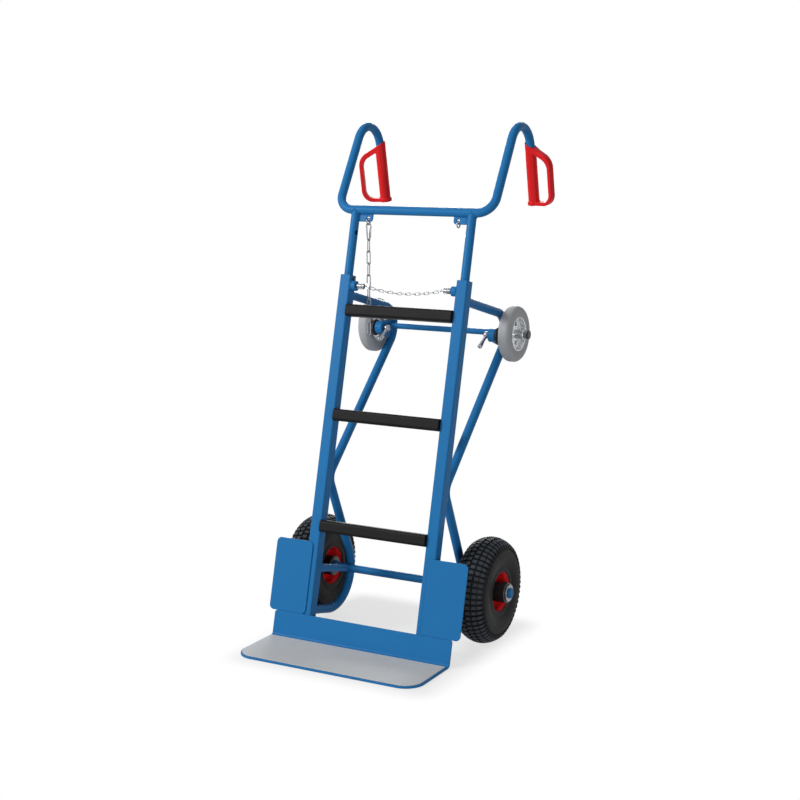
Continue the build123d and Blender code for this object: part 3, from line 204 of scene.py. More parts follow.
# %% [markdown]
# ## Shared effects
# Paint, plastic, rubber and plated steel all show the same few things at different strengths: the colour
# drifts slightly, the gloss is never quite even, and the skin has a fine relief. Each effect is a shader
# group with named inputs, placed in every material with that material's own values. They read Object
# coordinates, which are metres here, so a scale of 500 means grains of about 2 mm.

# %% Colour drift group
FLOAT, COLOUR, VECTOR = "NodeSocketFloat", "NodeSocketColor", "NodeSocketVector"


def group_of(name, inputs, outputs):
    """A shader group, with the sockets that its inputs give and those that its outputs take."""
    group = bpy.data.node_groups.new(name, "ShaderNodeTree")
    for label, kind, value in inputs:
        group.interface.new_socket(label, in_out="INPUT", socket_type=kind).default_value = value
    for label, kind in outputs:
        group.interface.new_socket(label, in_out="OUTPUT", socket_type=kind)
    print("group", name, [item.name for item in group.interface.items_tree])
    return group, group.nodes.new("NodeGroupInput").outputs, group.nodes.new("NodeGroupOutput").inputs


def noise_at(tree, place, scale, detail=2.0):
    """A noise texture's value at a place."""
    values = {"Vector": place, "Scale": scale, "Detail": detail}
    return add_node(tree, "ShaderNodeTexNoise", values).outputs["Fac"]


def swing(tree, value, amount):
    """A value between 0 and 1 as a swing of that amount about zero."""
    return math_node(tree, "MULTIPLY", math_node(tree, "SUBTRACT", value, 0.5), amount)


def scaled(tree, colour, gain):
    """A colour times a number."""
    return add_node(tree, "ShaderNodeVectorMath", {0: colour, "Scale": gain}, operation="SCALE").outputs[0]


drift, given, made = group_of(
    "colour_drift",
    [("Colour", COLOUR, (0.5, 0.5, 0.5, 1)), ("Drift", FLOAT, 0.1), ("Scale", FLOAT, 6.0),
     ("Speckle", FLOAT, 0.05), ("Speckle Scale", FLOAT, 900.0)],
    [("Colour", COLOUR)])
place = object_place(drift)
wide = swing(drift, noise_at(drift, place, given["Scale"], detail=3.0), given["Drift"])
fine = swing(drift, noise_at(drift, place, given["Speckle Scale"]), given["Speckle"])
gain = math_node(drift, "ADD", math_node(drift, "ADD", wide, fine), 1.0)
drift.links.new(scaled(drift, given["Colour"], gain), made["Colour"])

# %% Skin group
SWELL_SCALE, PATCH_SCALE = 0.12, 11.0
skin, given, made = group_of(
    "skin_relief",
    [("Stretch", VECTOR, (1, 1, 1)), ("Scale", FLOAT, 700.0), ("Coarse", FLOAT, 0.3),
     ("Roughness", FLOAT, 0.4), ("Spread", FLOAT, 0.1)],
    [("Height", FLOAT), ("Roughness", FLOAT)])
place = object_place(skin)
stretched = vector_node(skin, "MULTIPLY", place, given["Stretch"])
grain = noise_at(skin, stretched, given["Scale"])
swell = noise_at(skin, stretched, math_node(skin, "MULTIPLY", given["Scale"], SWELL_SCALE), detail=1.0)
height = math_node(skin, "ADD", grain, math_node(skin, "MULTIPLY", swell, given["Coarse"]))
skin.links.new(height, made["Height"])
patch = swing(skin, noise_at(skin, place, PATCH_SCALE, detail=4.0), given["Spread"])
skin.links.new(math_node(skin, "ADD", given["Roughness"], patch), made["Roughness"])

# %% Spangle group
spangle, given, made = group_of(
    "zinc_spangle",
    [("Colour", COLOUR, (0.6, 0.6, 0.6, 1)), ("Scale", FLOAT, 160.0), ("Contrast", FLOAT, 0.3),
     ("Roughness", FLOAT, 0.35), ("Spread", FLOAT, 0.25)],
    [("Colour", COLOUR), ("Roughness", FLOAT)])
place = object_place(spangle)
cells = add_node(spangle, "ShaderNodeTexVoronoi", {"Vector": place, "Scale": given["Scale"]})
tones = add_node(spangle, "ShaderNodeSeparateColor", {"Color": cells.outputs["Color"]}).outputs
gain = math_node(spangle, "ADD", swing(spangle, tones["Red"], given["Contrast"]), 1.0)
spangle.links.new(scaled(spangle, given["Colour"], gain), made["Colour"])
gloss = swing(spangle, tones["Green"], given["Spread"])
spangle.links.new(math_node(spangle, "ADD", given["Roughness"], gloss), made["Roughness"])

# %% [markdown]
# ## Finishes
# One material for each slot of the record. Powder coat is a satin film with a slight orange peel; the
# rungs wear an extruded profile whose grain runs along them; the toe plate's lining is a gritty grey
# sheet; grips and rims are moulded in the same red plastic; small hardware is bright zinc plate and the
# support wheels' pressed rims show the crystal pattern of hot-dip galvanising.

# %% Finish builder and the frame's blue
TONE_INPUTS, SKIN_INPUTS = ("Drift", "Scale", "Speckle", "Speckle Scale"), ("Scale", "Coarse", "Spread")
finishes = {}


def make_finish(slot, colour, roughness, tone, relief, bump, specular=0.5, metallic=0.0, stretch=(1, 1, 1)):
    """A Principled material with drifting colour, if it has a tone, uneven gloss and a fine relief."""
    material = bpy.data.materials.new(slot)
    material.use_nodes = True
    tree = material.node_tree
    shader = tree.nodes["Principled BSDF"].inputs
    shader["Metallic"].default_value = metallic
    shader["Specular IOR Level"].default_value = specular
    if tone:
        values = {"Colour": (*colour, 1.0), **dict(zip(TONE_INPUTS, tone))}
        toned = add_node(tree, "ShaderNodeGroup", values, node_tree=drift)
        tree.links.new(toned.outputs["Colour"], shader["Base Color"])
    values = {"Roughness": roughness, "Stretch": stretch, **dict(zip(SKIN_INPUTS, relief))}
    skinned = add_node(tree, "ShaderNodeGroup", values, node_tree=skin).outputs
    tree.links.new(skinned["Roughness"], shader["Roughness"])
    values = {"Strength": bump[0], "Distance": bump[1], "Height": skinned["Height"]}
    tree.links.new(add_node(tree, "ShaderNodeBump", values).outputs["Normal"], shader["Normal"])
    finishes[slot] = material


make_finish("frame_blue", (0.0180, 0.147, 0.362), 0.34, (0.10, 5.0, 0.10, 1400.0), (650.0, 0.6, 0.10),
            (0.22, 0.0002), specular=0.05)
print("made", *finishes)

# %% Rubber, plastic and plate
# Each row holds make_finish's arguments, in its order.
ALONG_X = (0.06, 1.0, 1.0)
FINISHES = (
    ("profile_black", (0.0040, 0.0040, 0.0048), 0.55,
     (0.25, 14.0, 0.35, 1100.0), (900.0, 0.5, 0.16), (0.3, 0.0003), 0.12, 0.0, ALONG_X),
    ("lining_grey", (0.475, 0.485, 0.492), 0.78,
     (0.10, 9.0, 0.55, 620.0), (520.0, 0.3, 0.1), (0.6, 0.0008), 0.25),
    ("red_plastic", (0.640, 0.0120, 0.0150), 0.35,
     (0.08, 12.0, 0.06, 1500.0), (1100.0, 0.2, 0.10), (0.14, 0.0002), 0.10),
    ("black_plastic", (0.0070, 0.0070, 0.0082), 0.38,
     (0.2, 20.0, 0.2, 1300.0), (1000.0, 0.3, 0.14), (0.2, 0.0002), 0.42),
    ("tyre_black", (0.0105, 0.0107, 0.0118), 0.60,
     (0.35, 16.0, 0.45, 700.0), (760.0, 0.7, 0.2), (0.35, 0.0004), 0.11),
    ("tube_rubber", (0.014, 0.014, 0.015), 0.6,
     (0.3, 20.0, 0.3, 900.0), (900.0, 0.5, 0.15), (0.3, 0.0003), 0.35),
    ("support_rubber", (0.345, 0.357, 0.368), 0.64,
     (0.16, 18.0, 0.22, 800.0), (820.0, 0.5, 0.15), (0.3, 0.0003), 0.3),
    ("bush_white", (0.68, 0.67, 0.64), 0.45,
     (0.05, 20.0, 0.05, 900.0), (1000.0, 0.3, 0.1), (0.15, 0.0002), 0.5),
    ("zinc", (0.25, 0.26, 0.28), 0.32,
     (0.22, 60.0, 0.18, 900.0), (1300.0, 0.6, 0.24), (0.16, 0.0002), 0.5, 1.0),
    ("spring_steel", (0.26, 0.26, 0.27), 0.33,
     (0.2, 80.0, 0.2, 900.0), (1300.0, 0.4, 0.2), (0.12, 0.0002), 0.5, 1.0))
for row in FINISHES:
    make_finish(*row)
print(sorted(finishes))

# %% Galvanised steel
GALVANISED, GALVANISED_ROUGHNESS = (0.60, 0.615, 0.63), 0.30
make_finish("galvanised", GALVANISED, GALVANISED_ROUGHNESS, None, (900.0, 0.5, 0.1), (0.15, 0.0002),
            metallic=1.0)
tree = finishes["galvanised"].node_tree
crystals = add_node(tree, "ShaderNodeGroup",
                    {"Colour": (*GALVANISED, 1.0), "Scale": 260.0, "Contrast": 0.16,
                     "Roughness": GALVANISED_ROUGHNESS, "Spread": 0.16}, node_tree=spangle)
for label, socket in (("Colour", "Base Color"), ("Roughness", "Roughness")):
    tree.links.new(crystals.outputs[label], tree.nodes["Principled BSDF"].inputs[socket])
print(len(finishes), "finishes")

# %% Finishes on the CAD nodes
node_slot = {part["node"]: part["material_slot"] for part in frame["record"]["subparts"]}
for name, obj in nodes.items():
    obj.material_slots[0].material = finishes[node_slot[name]]
print(len(nodes), "CAD nodes painted")

# %% [markdown]
# Lug tops get a painted highlight: a pale bluish colour that stands in for light on them, while the grooves
# between them stay the plain black. The highlight group finds the tops by their height: the distance from
# the axle, less the crown's own radius at that distance from the tyre's middle.

# %% Painted highlight on the lugs
# Painted highlight: the pale bluish colour that the lug tops get in place of light falling on them.
LUG_HIGHLIGHT, LUG_TOP = (0.043, 0.050, 0.060, 1.0), -0.0004
lug_light, given, made = group_of(
    "lug_wear",
    [("Colour", COLOUR, (0, 0, 0, 1)), ("Worn", COLOUR, (0.04, 0.04, 0.05, 1)), ("Axle", VECTOR, (0, 0, 0)),
     ("Middle", FLOAT, 0.238), ("Crown", FLOAT, 0.13), ("Fall", FLOAT, 10.9), ("Groove", FLOAT, -0.003)],
    [("Colour", COLOUR)])
offset = vector_node(lug_light, "SUBTRACT", object_place(lug_light), given["Axle"])
aside = add_node(lug_light, "ShaderNodeSeparateXYZ", {0: offset}).outputs["X"]
across = math_node(lug_light, "SUBTRACT", math_node(lug_light, "ABSOLUTE", aside), given["Middle"])
radius = vector_node(lug_light, "LENGTH", vector_node(lug_light, "MULTIPLY", offset, (0.0, 1.0, 1.0)))
fall = math_node(lug_light, "MULTIPLY", math_node(lug_light, "MULTIPLY", across, across), given["Fall"])
crown = math_node(lug_light, "SUBTRACT", given["Crown"], fall)
height = add_node(lug_light, "ShaderNodeMapRange", {"Value": math_node(lug_light, "SUBTRACT", radius, crown),
                                               "From Min": given["Groove"], "From Max": LUG_TOP})
highlighted_tops = add_node(lug_light, "ShaderNodeMix", {"Factor": height.outputs["Result"], "A": given["Colour"],
                                        "B": given["Worn"]}, data_type="RGBA")
lug_light.links.new(highlighted_tops.outputs["Result"], made["Colour"])
axle = hub_place("main_wheel_right")
tree = finishes["tyre_black"].node_tree
base = tree.nodes["Principled BSDF"].inputs["Base Color"]
# Painted highlight on the lug tops of both tyres, mixed into the rubber's own colour by height.
lug_highlight = add_node(tree, "ShaderNodeGroup",
                 {"Colour": base.links[0].from_socket, "Worn": LUG_HIGHLIGHT, "Axle": (0.0, axle[1], axle[2]),
                  "Middle": axle[0]}, node_tree=lug_light)
tree.links.new(lug_highlight.outputs["Colour"], base)

# %% [markdown]
# ## Helpers for new pieces
# A piece is always built in place: its mesh holds its position, its object stays at the origin. `settle`
# then paints it with its slot's finish, hangs it on the empty of the body that carries it, hides the CAD
# nodes it stands for, and prints it. `cad_copy` starts a piece from a CAD node's own mesh, for shapes that
# only need their edges or corners worked over.

# %% Piece helpers
SAME_CAD_POINT = 2e-6
node_body = {name: body for body, names in frame["record"]["behaviour"]["bodies"].items() for name in names}


def settle(obj, slot, body, *replaced):
    """Paints a finished piece and hands it to the frame."""
    obj.data.materials.clear()
    obj.data.materials.append(finishes[slot])
    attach(obj, body)
    if replaced:
        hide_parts(*replaced)
    print(obj.name, len(obj.data.polygons), "faces on", body)


def evaluated_mesh(obj):
    """A plain mesh of what the object's modifiers make, with the modifiers dropped."""
    bpy.context.view_layer.update()
    depsgraph = bpy.context.evaluated_depsgraph_get()
    mesh = bpy.data.meshes.new_from_object(obj.evaluated_get(depsgraph), depsgraph=depsgraph)
    obj.modifiers.clear()
    return mesh


def mesh_of(name, bm):
    """A mesh from a bmesh, which is freed."""
    mesh = bpy.data.meshes.new(name)
    bm.to_mesh(mesh)
    bm.free()
    return mesh


def cad_copy(prefix, node, flat=None):
    """A copy of a CAD node with its facets joined, and merged where they are flat to within an angle."""
    bm = bmesh.new()
    bm.from_mesh(nodes[node].data)
    bmesh.ops.remove_doubles(bm, verts=bm.verts, dist=SAME_CAD_POINT)
    if flat:
        bmesh.ops.dissolve_limit(bm, angle_limit=radians(flat), verts=bm.verts, edges=bm.edges)
    return new_object(prefix + node, mesh_of(prefix + node, bm))


def settle_copy(obj, node):
    """Settles a copy in the place of its CAD node."""
    settle(obj, node_slot[node], node_body[node], node)


# %% [markdown]
# ## Rounded copies
# No sawn or pressed edge is as sharp as a CAD edge, so plates, pressings and turned parts are replaced by
# a copy whose edges are rounded by about a millimetre.

# %% Softened copy of a CAD node
FLAT_ANGLE, EDGE_ANGLE, EDGE_SEGMENTS, FACE_WEIGHT = 0.3, 32.0, 2, 100


def soften(node, width):
    """Replaces a CAD node by a copy whose facets are joined and whose edges are rounded."""
    obj = cad_copy("soft_", node, FLAT_ANGLE)
    obj.data.shade_smooth()
    rounding = obj.modifiers.new("rounding", "BEVEL")
    rounding.width = width
    rounding.segments = EDGE_SEGMENTS
    rounding.limit_method = "ANGLE"
    rounding.angle_limit = radians(EDGE_ANGLE)
    flatten = obj.modifiers.new("flatten", "WEIGHTED_NORMAL")
    flatten.weight = FACE_WEIGHT
    obj.data = evaluated_mesh(obj)
    settle_copy(obj, node)


softened = {"toe_plate": 0.9, "toe_plate_lining": 0.7, "wheel_guard_left": 0.8, "wheel_guard_right": 0.8,
            "bow_gussets": 0.8, "support_bracket_left": 0.8, "support_bracket_right": 0.8,
            "lock_boss_left": 1.0, "lock_boss_right": 1.0, "axle_collars": 1.0, "axle_washers": 0.7,
            "wheel_hub_left": 1.2, "wheel_hub_right": 1.2, "support_spacers": 0.6, "brake_pad_left": 0.9,
            "brake_pad_right": 0.9, "leg_guides": 0.5, "rung_profile_top": 1.2,
            "rung_profile_middle": 1.2, "rung_profile_bottom": 1.2}
for name, width in softened.items():
    soften(name, width * MM)

# %% [markdown]
# ## Geometry Nodes for what repeats
# Tread lugs, hole collars, knurls, chain links and weld ripples are each one small shape repeated by a
# rule. Two trees cover them. `ring_tree` sets copies round an axle; `row_tree` sets copies along a curve,
# with every second one rolled a quarter turn if asked, as the links of a chain are. Both end in Realize
# Instances and Set Material, so the result can be turned into a plain mesh.

# %% Tree for copies round an axle
def modifier_tree(name, inputs):
    """A modifier tree with its sockets, and the sockets that its inputs give."""
    tree = bpy.data.node_groups.new(name, "GeometryNodeTree")
    for label, kind in (("Geometry", "NodeSocketGeometry"), *inputs, ("Finish", "NodeSocketMaterial")):
        tree.interface.new_socket(label, in_out="INPUT", socket_type=kind)
    tree.interface.new_socket("Geometry", in_out="OUTPUT", socket_type="NodeSocketGeometry")
    return tree, tree.nodes.new("NodeGroupInput").outputs


def finish_tree(tree, points, instance, rotation, finish):
    """Sets copies on their points, makes them real and gives them a finish."""
    values = {"Points": points, "Instance": instance, "Rotation": rotation}
    copies = add_node(tree, "GeometryNodeInstanceOnPoints", values)
    real = add_node(tree, "GeometryNodeRealizeInstances", {0: copies.outputs[0]})
    values = {"Geometry": real.outputs[0], "Material": finish}
    add_node(tree, "NodeGroupOutput", {0: add_node(tree, "GeometryNodeSetMaterial", values).outputs[0]})
    print("tree", tree.name, "with", len(tree.nodes), "nodes")


def turn_about_x(tree, angle):
    """A rotation about the X axis."""
    return add_node(tree, "FunctionNodeAxisAngleToRotation", {"Axis": (1, 0, 0), "Angle": angle}).outputs[0]


ring_tree, given = modifier_tree("copies_round_axle", [("Count", "NodeSocketInt"), ("Centre", VECTOR)])
points = add_node(ring_tree, "GeometryNodePoints", {"Count": given["Count"], "Position": given["Centre"]})
index = ring_tree.nodes.new("GeometryNodeInputIndex").outputs[0]
angle = math_node(ring_tree, "MULTIPLY", index, math_node(ring_tree, "DIVIDE", 2 * pi, given["Count"]))
turn = turn_about_x(ring_tree, angle)
finish_tree(ring_tree, points.outputs[0], given["Geometry"], turn, given["Finish"])

# %% Tree for copies along a curve
row_tree, given = modifier_tree(
    "copies_along_curve", [("Link", "NodeSocketObject"), ("Count", "NodeSocketInt"), ("Roll", FLOAT)])
points = add_node(row_tree, "GeometryNodeCurveToPoints",
                  {"Curve": given["Geometry"], "Count": given["Count"]}, mode="COUNT").outputs
link = add_node(row_tree, "GeometryNodeObjectInfo", {"Object": given["Link"]}).outputs["Geometry"]
along = add_node(row_tree, "FunctionNodeAlignRotationToVector", {"Vector": points["Tangent"]}, axis="X")
index = row_tree.nodes.new("GeometryNodeInputIndex").outputs[0]
roll = math_node(row_tree, "MULTIPLY", math_node(row_tree, "MODULO", index, 2.0), given["Roll"])
turn = add_node(row_tree, "FunctionNodeRotateRotation",
                {"Rotation": along.outputs[0], "Rotate By": turn_about_x(row_tree, roll)},
                rotation_space="LOCAL")
finish_tree(row_tree, points["Points"], link, turn.outputs[0], given["Finish"])

# %% [markdown]
# ## Tyres
# A block-tread air tyre: a smooth carcass with a few thin rings on its wall, and lugs that carry on over
# the shoulder and give the outline its teeth. The carcass is a lathe of the CAD tyre's own section, sunk
# by the tread's depth, and at its foot a bead of rubber folds over the rim's lip. One pitch of tread has
# three blocks on each half, with the halves out of step. It is modelled once and the ring tree repeats it.

# %% Tyre section
TYRE_R, TYRE_HALF, TYRE_WALL = 130.0, 42.5, 9.0
LIP_R, SEAT_HALF, SEAT_R = 51.0, 31.0, 47.0
TREAD_DEPTH, TREAD_END, WALL_SINK = 5.2, 99.0, 0.7
SHOULDER = (TYRE_HALF * 0.85, TYRE_R - TYRE_HALF / 3)
SIDE_TOP = ((SHOULDER[0] + 2 * TYRE_HALF) / 3, SHOULDER[1] - TYRE_WALL)
WIDEST = (TYRE_HALF, (LIP_R + SHOULDER[1]) / 2)
CROWN_MIDDLE = (SHOULDER[0] / 2, TYRE_R - 2 * TYRE_HALF / 24)
CROWN_STEPS, FLANK_STEPS, SIDE_STEPS = 18, 3, 24


def arc_through(start, middle, end, steps):
    """Points of the arc through three points of a section."""
    (ax, ay), (bx, by), (cx, cy) = start, middle, end
    turn = 2 * (ax * (by - cy) + bx * (cy - ay) + cx * (ay - by))
    sa, sb, sc = ax * ax + ay * ay, bx * bx + by * by, cx * cx + cy * cy
    ox = (sa * (by - cy) + sb * (cy - ay) + sc * (ay - by)) / turn
    oy = (sa * (cx - bx) + sb * (ax - cx) + sc * (bx - ax)) / turn
    radius = sqrt((ax - ox) ** 2 + (ay - oy) ** 2)
    angles = [atan2(y - oy, x - ox) for x, y in (start, middle, end)]
    for i in (1, 2):
        angles[i] -= 2 * pi * round((angles[i] - angles[i - 1]) / (2 * pi))
    first, sweep = angles[0], angles[2] - angles[0]
    return [(ox + radius * cos(first + sweep * i / steps), oy + radius * sin(first + sweep * i / steps))
            for i in range(steps + 1)]


def outward_at(line, index):
    """Unit normal of a section line that runs from the crown to the bead."""
    ax, ay = line[index - 1]
    bx, by = line[min(index + 1, len(line) - 1)]
    size = sqrt((bx - ax) ** 2 + (by - ay) ** 2)
    return (ay - by) / size, (bx - ax) / size


skin_line = arc_through((0, TYRE_R), CROWN_MIDDLE, SHOULDER, CROWN_STEPS)
skin_line += [tuple(a + (b - a) * i / FLANK_STEPS for a, b in zip(SHOULDER, SIDE_TOP))
              for i in range(1, FLANK_STEPS + 1)]
skin_line += arc_through(SIDE_TOP, WIDEST, (SEAT_HALF, LIP_R), SIDE_STEPS)[1:]
normals = [(0.0, 1.0)] + [outward_at(skin_line, i) for i in range(1, len(skin_line))]
print(len(skin_line), "points on the CAD tyre's skin")

# %% Carcass
RINGS, RING_HALF = ((91.5, 0.55), (88.0, 0.35), (66.0, 0.6), (60.5, 0.45)), 1.6
BEAD_TOP = 61.0
BEAD = [(37.4, 57.5), (37.7, 54.0), (37.4, 50.4), (36.6, 48.6),
        (35.6, 48.0), (35.25, 48.3), (35.25, 51.3), (31.0, 51.3)]
CAVITY_FOOT, CAVITY_TOP, CAVITY_STEPS = (22.0, SEAT_R + TYRE_WALL), (14.0, 117.5), 10
CAVITY_SIDE = (WIDEST[0] - TYRE_WALL, WIDEST[1])
CAVITY_SHOULDER = (SHOULDER[0] - TYRE_WALL, SHOULDER[1] - TYRE_WALL * 0.6)
TREAD_FADE = SIDE_TOP[1] + 3 - TREAD_END


def sink_at(radius):
    """Depth of the grooves: full under the tread, nothing on the wall."""
    share = min(max((radius - TREAD_END) / TREAD_FADE, 0), 1)
    return TREAD_DEPTH * share * share * (3 - 2 * share)


def ring_rise(radius):
    """Height of the moulded rings on the tyre's wall."""
    return sum(height * max(0.0, 1 - abs(radius - at) / RING_HALF) for at, height in RINGS)


def both_halves(half):
    """A section from its right half, which starts at the middle."""
    return half + [(-a, r) for a, r in reversed(half[1:])]


half = []
for (a, r), (na, nr) in zip(skin_line, normals):
    if r >= BEAD_TOP:
        lift = ring_rise(r) - WALL_SINK if r < TREAD_END else -sink_at(r)
        half.append((a + na * lift, r + nr * lift))
half += BEAD + [(SEAT_HALF, SEAT_R), (CAVITY_FOOT[0], SEAT_R)]
half += arc_through(CAVITY_FOOT, CAVITY_SIDE, CAVITY_SHOULDER, CAVITY_STEPS)
tyre_section = both_halves(half + [CAVITY_TOP])
print("tyre section of", len(tyre_section), "points, wall widest at", round(max(tyre_section)[0], 1), "mm")

# %% Tread blocks
LUGS, LUG_CREASE, RIGHT_TURN, LEFT_TURN = 56, 30.0, 0.67, 0.17
LUG_ROOT, LUG_RIM = 1.0, 0.9
ROOT_FLARE, RIM_FLARE, TOP_FLARE = 1.1, 0.15, -0.7
CENTRE_WIDTH, INNER_WIDTH, SHOULDER_WIDTH = 9.0, 8.6, 7.6
pitch = 2 * pi / LUGS


def net_faces(rows, size, closed=True):
    """Quads between rows of points that each go round a section; an open net gets a face at both ends."""
    faces = []
    for row in range(rows if closed else rows - 1):
        here, there = row * size, (row + 1) % rows * size
        faces += [(here + i, here + (i + 1) % size, there + (i + 1) % size, there + i) for i in range(size)]
    if not closed:
        faces += [tuple(range(size)), tuple(reversed(range((rows - 1) * size, rows * size)))]
    return faces


def lug(stations, turn, width):
    """One tread block: six points at each station, which is (skin index, share of the width)."""
    points = []
    for index, share in stations:
        (a, r), (na, nr) = skin_line[index], normals[index]
        lifts = ((-sink_at(r) - LUG_ROOT, ROOT_FLARE), (-LUG_RIM, RIM_FLARE), (0.0, TOP_FLARE))
        flank = [(a + na * lift, r + nr * lift, width * share / 2 + flare) for lift, flare in lifts]
        points += [(a, r, turn * pitch - reach / r) for a, r, reach in flank]
        points += [(a, r, turn * pitch + reach / r) for a, r, reach in reversed(flank)]
    return points, net_faces(len(stations), 6, closed=False)


def on_crown(*stations):
    """Stations whose skin index is given as a distance from the tyre's middle."""
    return [(min(range(CROWN_STEPS + 1), key=lambda i: abs(skin_line[i][0] - a)), share)
            for a, share in stations]


centre_block = on_crown((1.6, 0.86), (8.0, 1.0), (13.5, 0.9))
inner_lug = on_crown((17.0, 0.9), (22.0, 1.0), (27.5, 0.95))
shoulder_lug = on_crown((29.4, 0.9), (33.0, 1.0))
shoulder_lug += [(CROWN_STEPS + i, share) for i, share in ((0, 1.0), (2, 0.9), (3, 0.75), (4, 0.5))]
tread_points, tread_faces = [], []
for mirror, turn in ((1, RIGHT_TURN), (-1, LEFT_TURN)):
    for stations, width in ((centre_block, CENTRE_WIDTH), (inner_lug, INNER_WIDTH),
                            (shoulder_lug, SHOULDER_WIDTH)):
        block, faces = lug(stations, turn, width)
        tread_faces += [tuple(len(tread_points) + i for i in face) for face in faces]
        tread_points += [(mirror * a * MM, r * MM * cos(t), r * MM * sin(t)) for a, r, t in block]
print("one pitch of tread has", len(tread_faces), "faces")

# %% One pitch as a mesh
CREASE, SAME_POINT = 38.0, 1e-6


def shade(mesh, crease=CREASE):
    """Smooth shading with edges sharper than the crease angle kept sharp."""
    mesh.shade_smooth()
    mesh.set_sharp_from_angle(angle=radians(crease))


def mesh_from(name, points, faces, crease=CREASE):
    """A closed mesh with its faces turned outwards and smooth shading up to a crease angle."""
    rough = bpy.data.meshes.new(name)
    rough.from_pydata([tuple(p) for p in points], [], faces)
    bm = bmesh.new()
    bm.from_mesh(rough)
    bpy.data.meshes.remove(rough)
    bmesh.ops.remove_doubles(bm, verts=bm.verts, dist=SAME_POINT)
    bmesh.ops.recalc_face_normals(bm, faces=bm.faces)
    mesh = mesh_of(name, bm)
    shade(mesh, crease)
    return mesh


pitch_mesh = mesh_from("pitch", tread_points, tread_faces, LUG_CREASE)
print("pitch mesh of", len(pitch_mesh.vertices), "points")


# %% Tyres in place
def full_turn(steps):
    """Angles that go round once in equal steps."""
    return [2 * pi * step / steps for step in range(steps)]


def lathe(name, section, centre, steps=144, axis=(1, 0, 0)):
    """A closed section, in mm as (along the axis, outwards), turned about an axis through centre."""
    along = Vector(axis).normalized()
    out = Vector((0, 1, 0)) if along.x > 0.99 else along.orthogonal().normalized()
    up = along.cross(out)
    points = []
    for turn in full_turn(steps):
        spoke = out * cos(turn) + up * sin(turn)
        points += [Vector(centre) + (along * a + spoke * r) * MM for a, r in section]
    return mesh_from(name, points, net_faces(steps, len(section)))


def tree_mesh(data, tree, slot, **values):
    """A plain mesh of what a tree makes of a mesh or a curve, with its inputs set by their identifiers."""
    seed = new_object("seed", data)
    modifier = seed.modifiers.new(tree.name, "NODES")
    modifier.node_group = tree
    sockets = {item.name: item.identifier for item in tree.interface.items_tree
               if item.item_type == "SOCKET" and item.in_out == "INPUT"}
    for label, value in {**values, "Finish": finishes[slot]}.items():
        modifier[sockets[label]] = value
    mesh = evaluated_mesh(seed)
    bpy.data.objects.remove(seed)
    return mesh


for _, side in SIDES:
    wheel = f"main_wheel_{side}"
    hub = hub_place(wheel)
    tread = tree_mesh(pitch_mesh, ring_tree, "tyre_black", Count=LUGS, Centre=hub)
    shade(tread, LUG_CREASE)
    settle(new_object(f"tyre_tread_{side}", tread), "tyre_black", wheel)
    carcass = lathe(f"tyre_carcass_{side}", tyre_section, hub)
    settle(new_object(f"tyre_carcass_{side}", carcass), "tyre_black", wheel, f"tyre_{side}")

# %% [markdown]
# ## Grips
# The grips are single mouldings: a sleeve with a closed end and a flat knuckle guard that grows out of
# it. In the CAD node the two meet in hard corners. A moulding has soft ones, so a copy is remeshed to an
# even net of about a millimetre and relaxed, which rounds every edge and fills every inner corner.

# %% Moulded grips
VOXEL, RELAX_ROUNDS, RELAX_SHARE, MOULD_CREASE = 1.1 * MM, 9, 0.5, 60.0
for _, side in SIDES:
    grip = cad_copy("moulded_", f"grip_{side}")
    net = grip.modifiers.new("net", "REMESH")
    net.mode = "VOXEL"
    net.voxel_size = VOXEL
    relax = grip.modifiers.new("relax", "SMOOTH")
    relax.factor = RELAX_SHARE
    relax.iterations = RELAX_ROUNDS
    grip.data = evaluated_mesh(grip)
    shade(grip.data, MOULD_CREASE)
    settle_copy(grip, f"grip_{side}")

# %% [markdown]
# ## Chains
# Two chains hang on the truck: a thin one between the lock pins, which releases both at once, and the load
# chain below the snap hook. Each link is a wire bent to a long oval. The links follow a curve through the
# CAD links' middles: a shallow sag for the lock chain, which one Bezier span draws exactly, and a plumb
# line for the load chain.

# %% Rail coordinates and the lock chain's sag
LEAN = radians(14.0)
UP, BACK = Vector((0, sin(LEAN), cos(LEAN))), Vector((0, cos(LEAN), -sin(LEAN)))
RAIL_ORIGIN = Vector((0, 85.0, 5.0)) + BACK * 5.0
LOCK_BACK, LOCK_UP = 12.5, 877.0
TANG_EYE_X, TANG_EYE_R, LINK_PLAY = 104.7, 4.0, 0.4
LOCK_SAG, LOCK_LINKS, LOCK_WIRE, LOCK_WIDTH = 13.0, 17, 2.0, 8.0


def rail_point(x, back, height):
    """A point in rail coordinates, given in mm: across, backwards from the rails' fronts, up along them."""
    return (Vector((x, 0, 0)) + RAIL_ORIGIN + BACK * back + UP * height) * MM


LOCK = rail_point(0, LOCK_BACK, LOCK_UP)
chain_eye = TANG_EYE_X + TANG_EYE_R - LINK_PLAY - LOCK_WIRE / 2
share = (1 + 2 / 3 * (LOCK_SAG / chain_eye) ** 2) / (LOCK_LINKS - 1)
chain_end = (chain_eye - LOCK_WIRE / 2 - LINK_PLAY / 2) / (1 + share)
lock_length = 2 * chain_end * share + LINK_PLAY + 2 * LOCK_WIRE
end_dip = LOCK_SAG * (1 - (chain_end / chain_eye) ** 2)
handle_dip = end_dip + 4 / 3 * LOCK_SAG * (chain_end / chain_eye) ** 2
sag = [LOCK + Vector((x * chain_end, 0, -dip)) * MM
       for x, dip in ((-1, end_dip), (-1 / 3, handle_dip), (1 / 3, handle_dip), (1, end_dip))]
print("lock chain: links of", round(lock_length, 2), "mm, sag", LOCK_SAG, "mm")

# %% Chain link
LINK_CREASE = 80.0


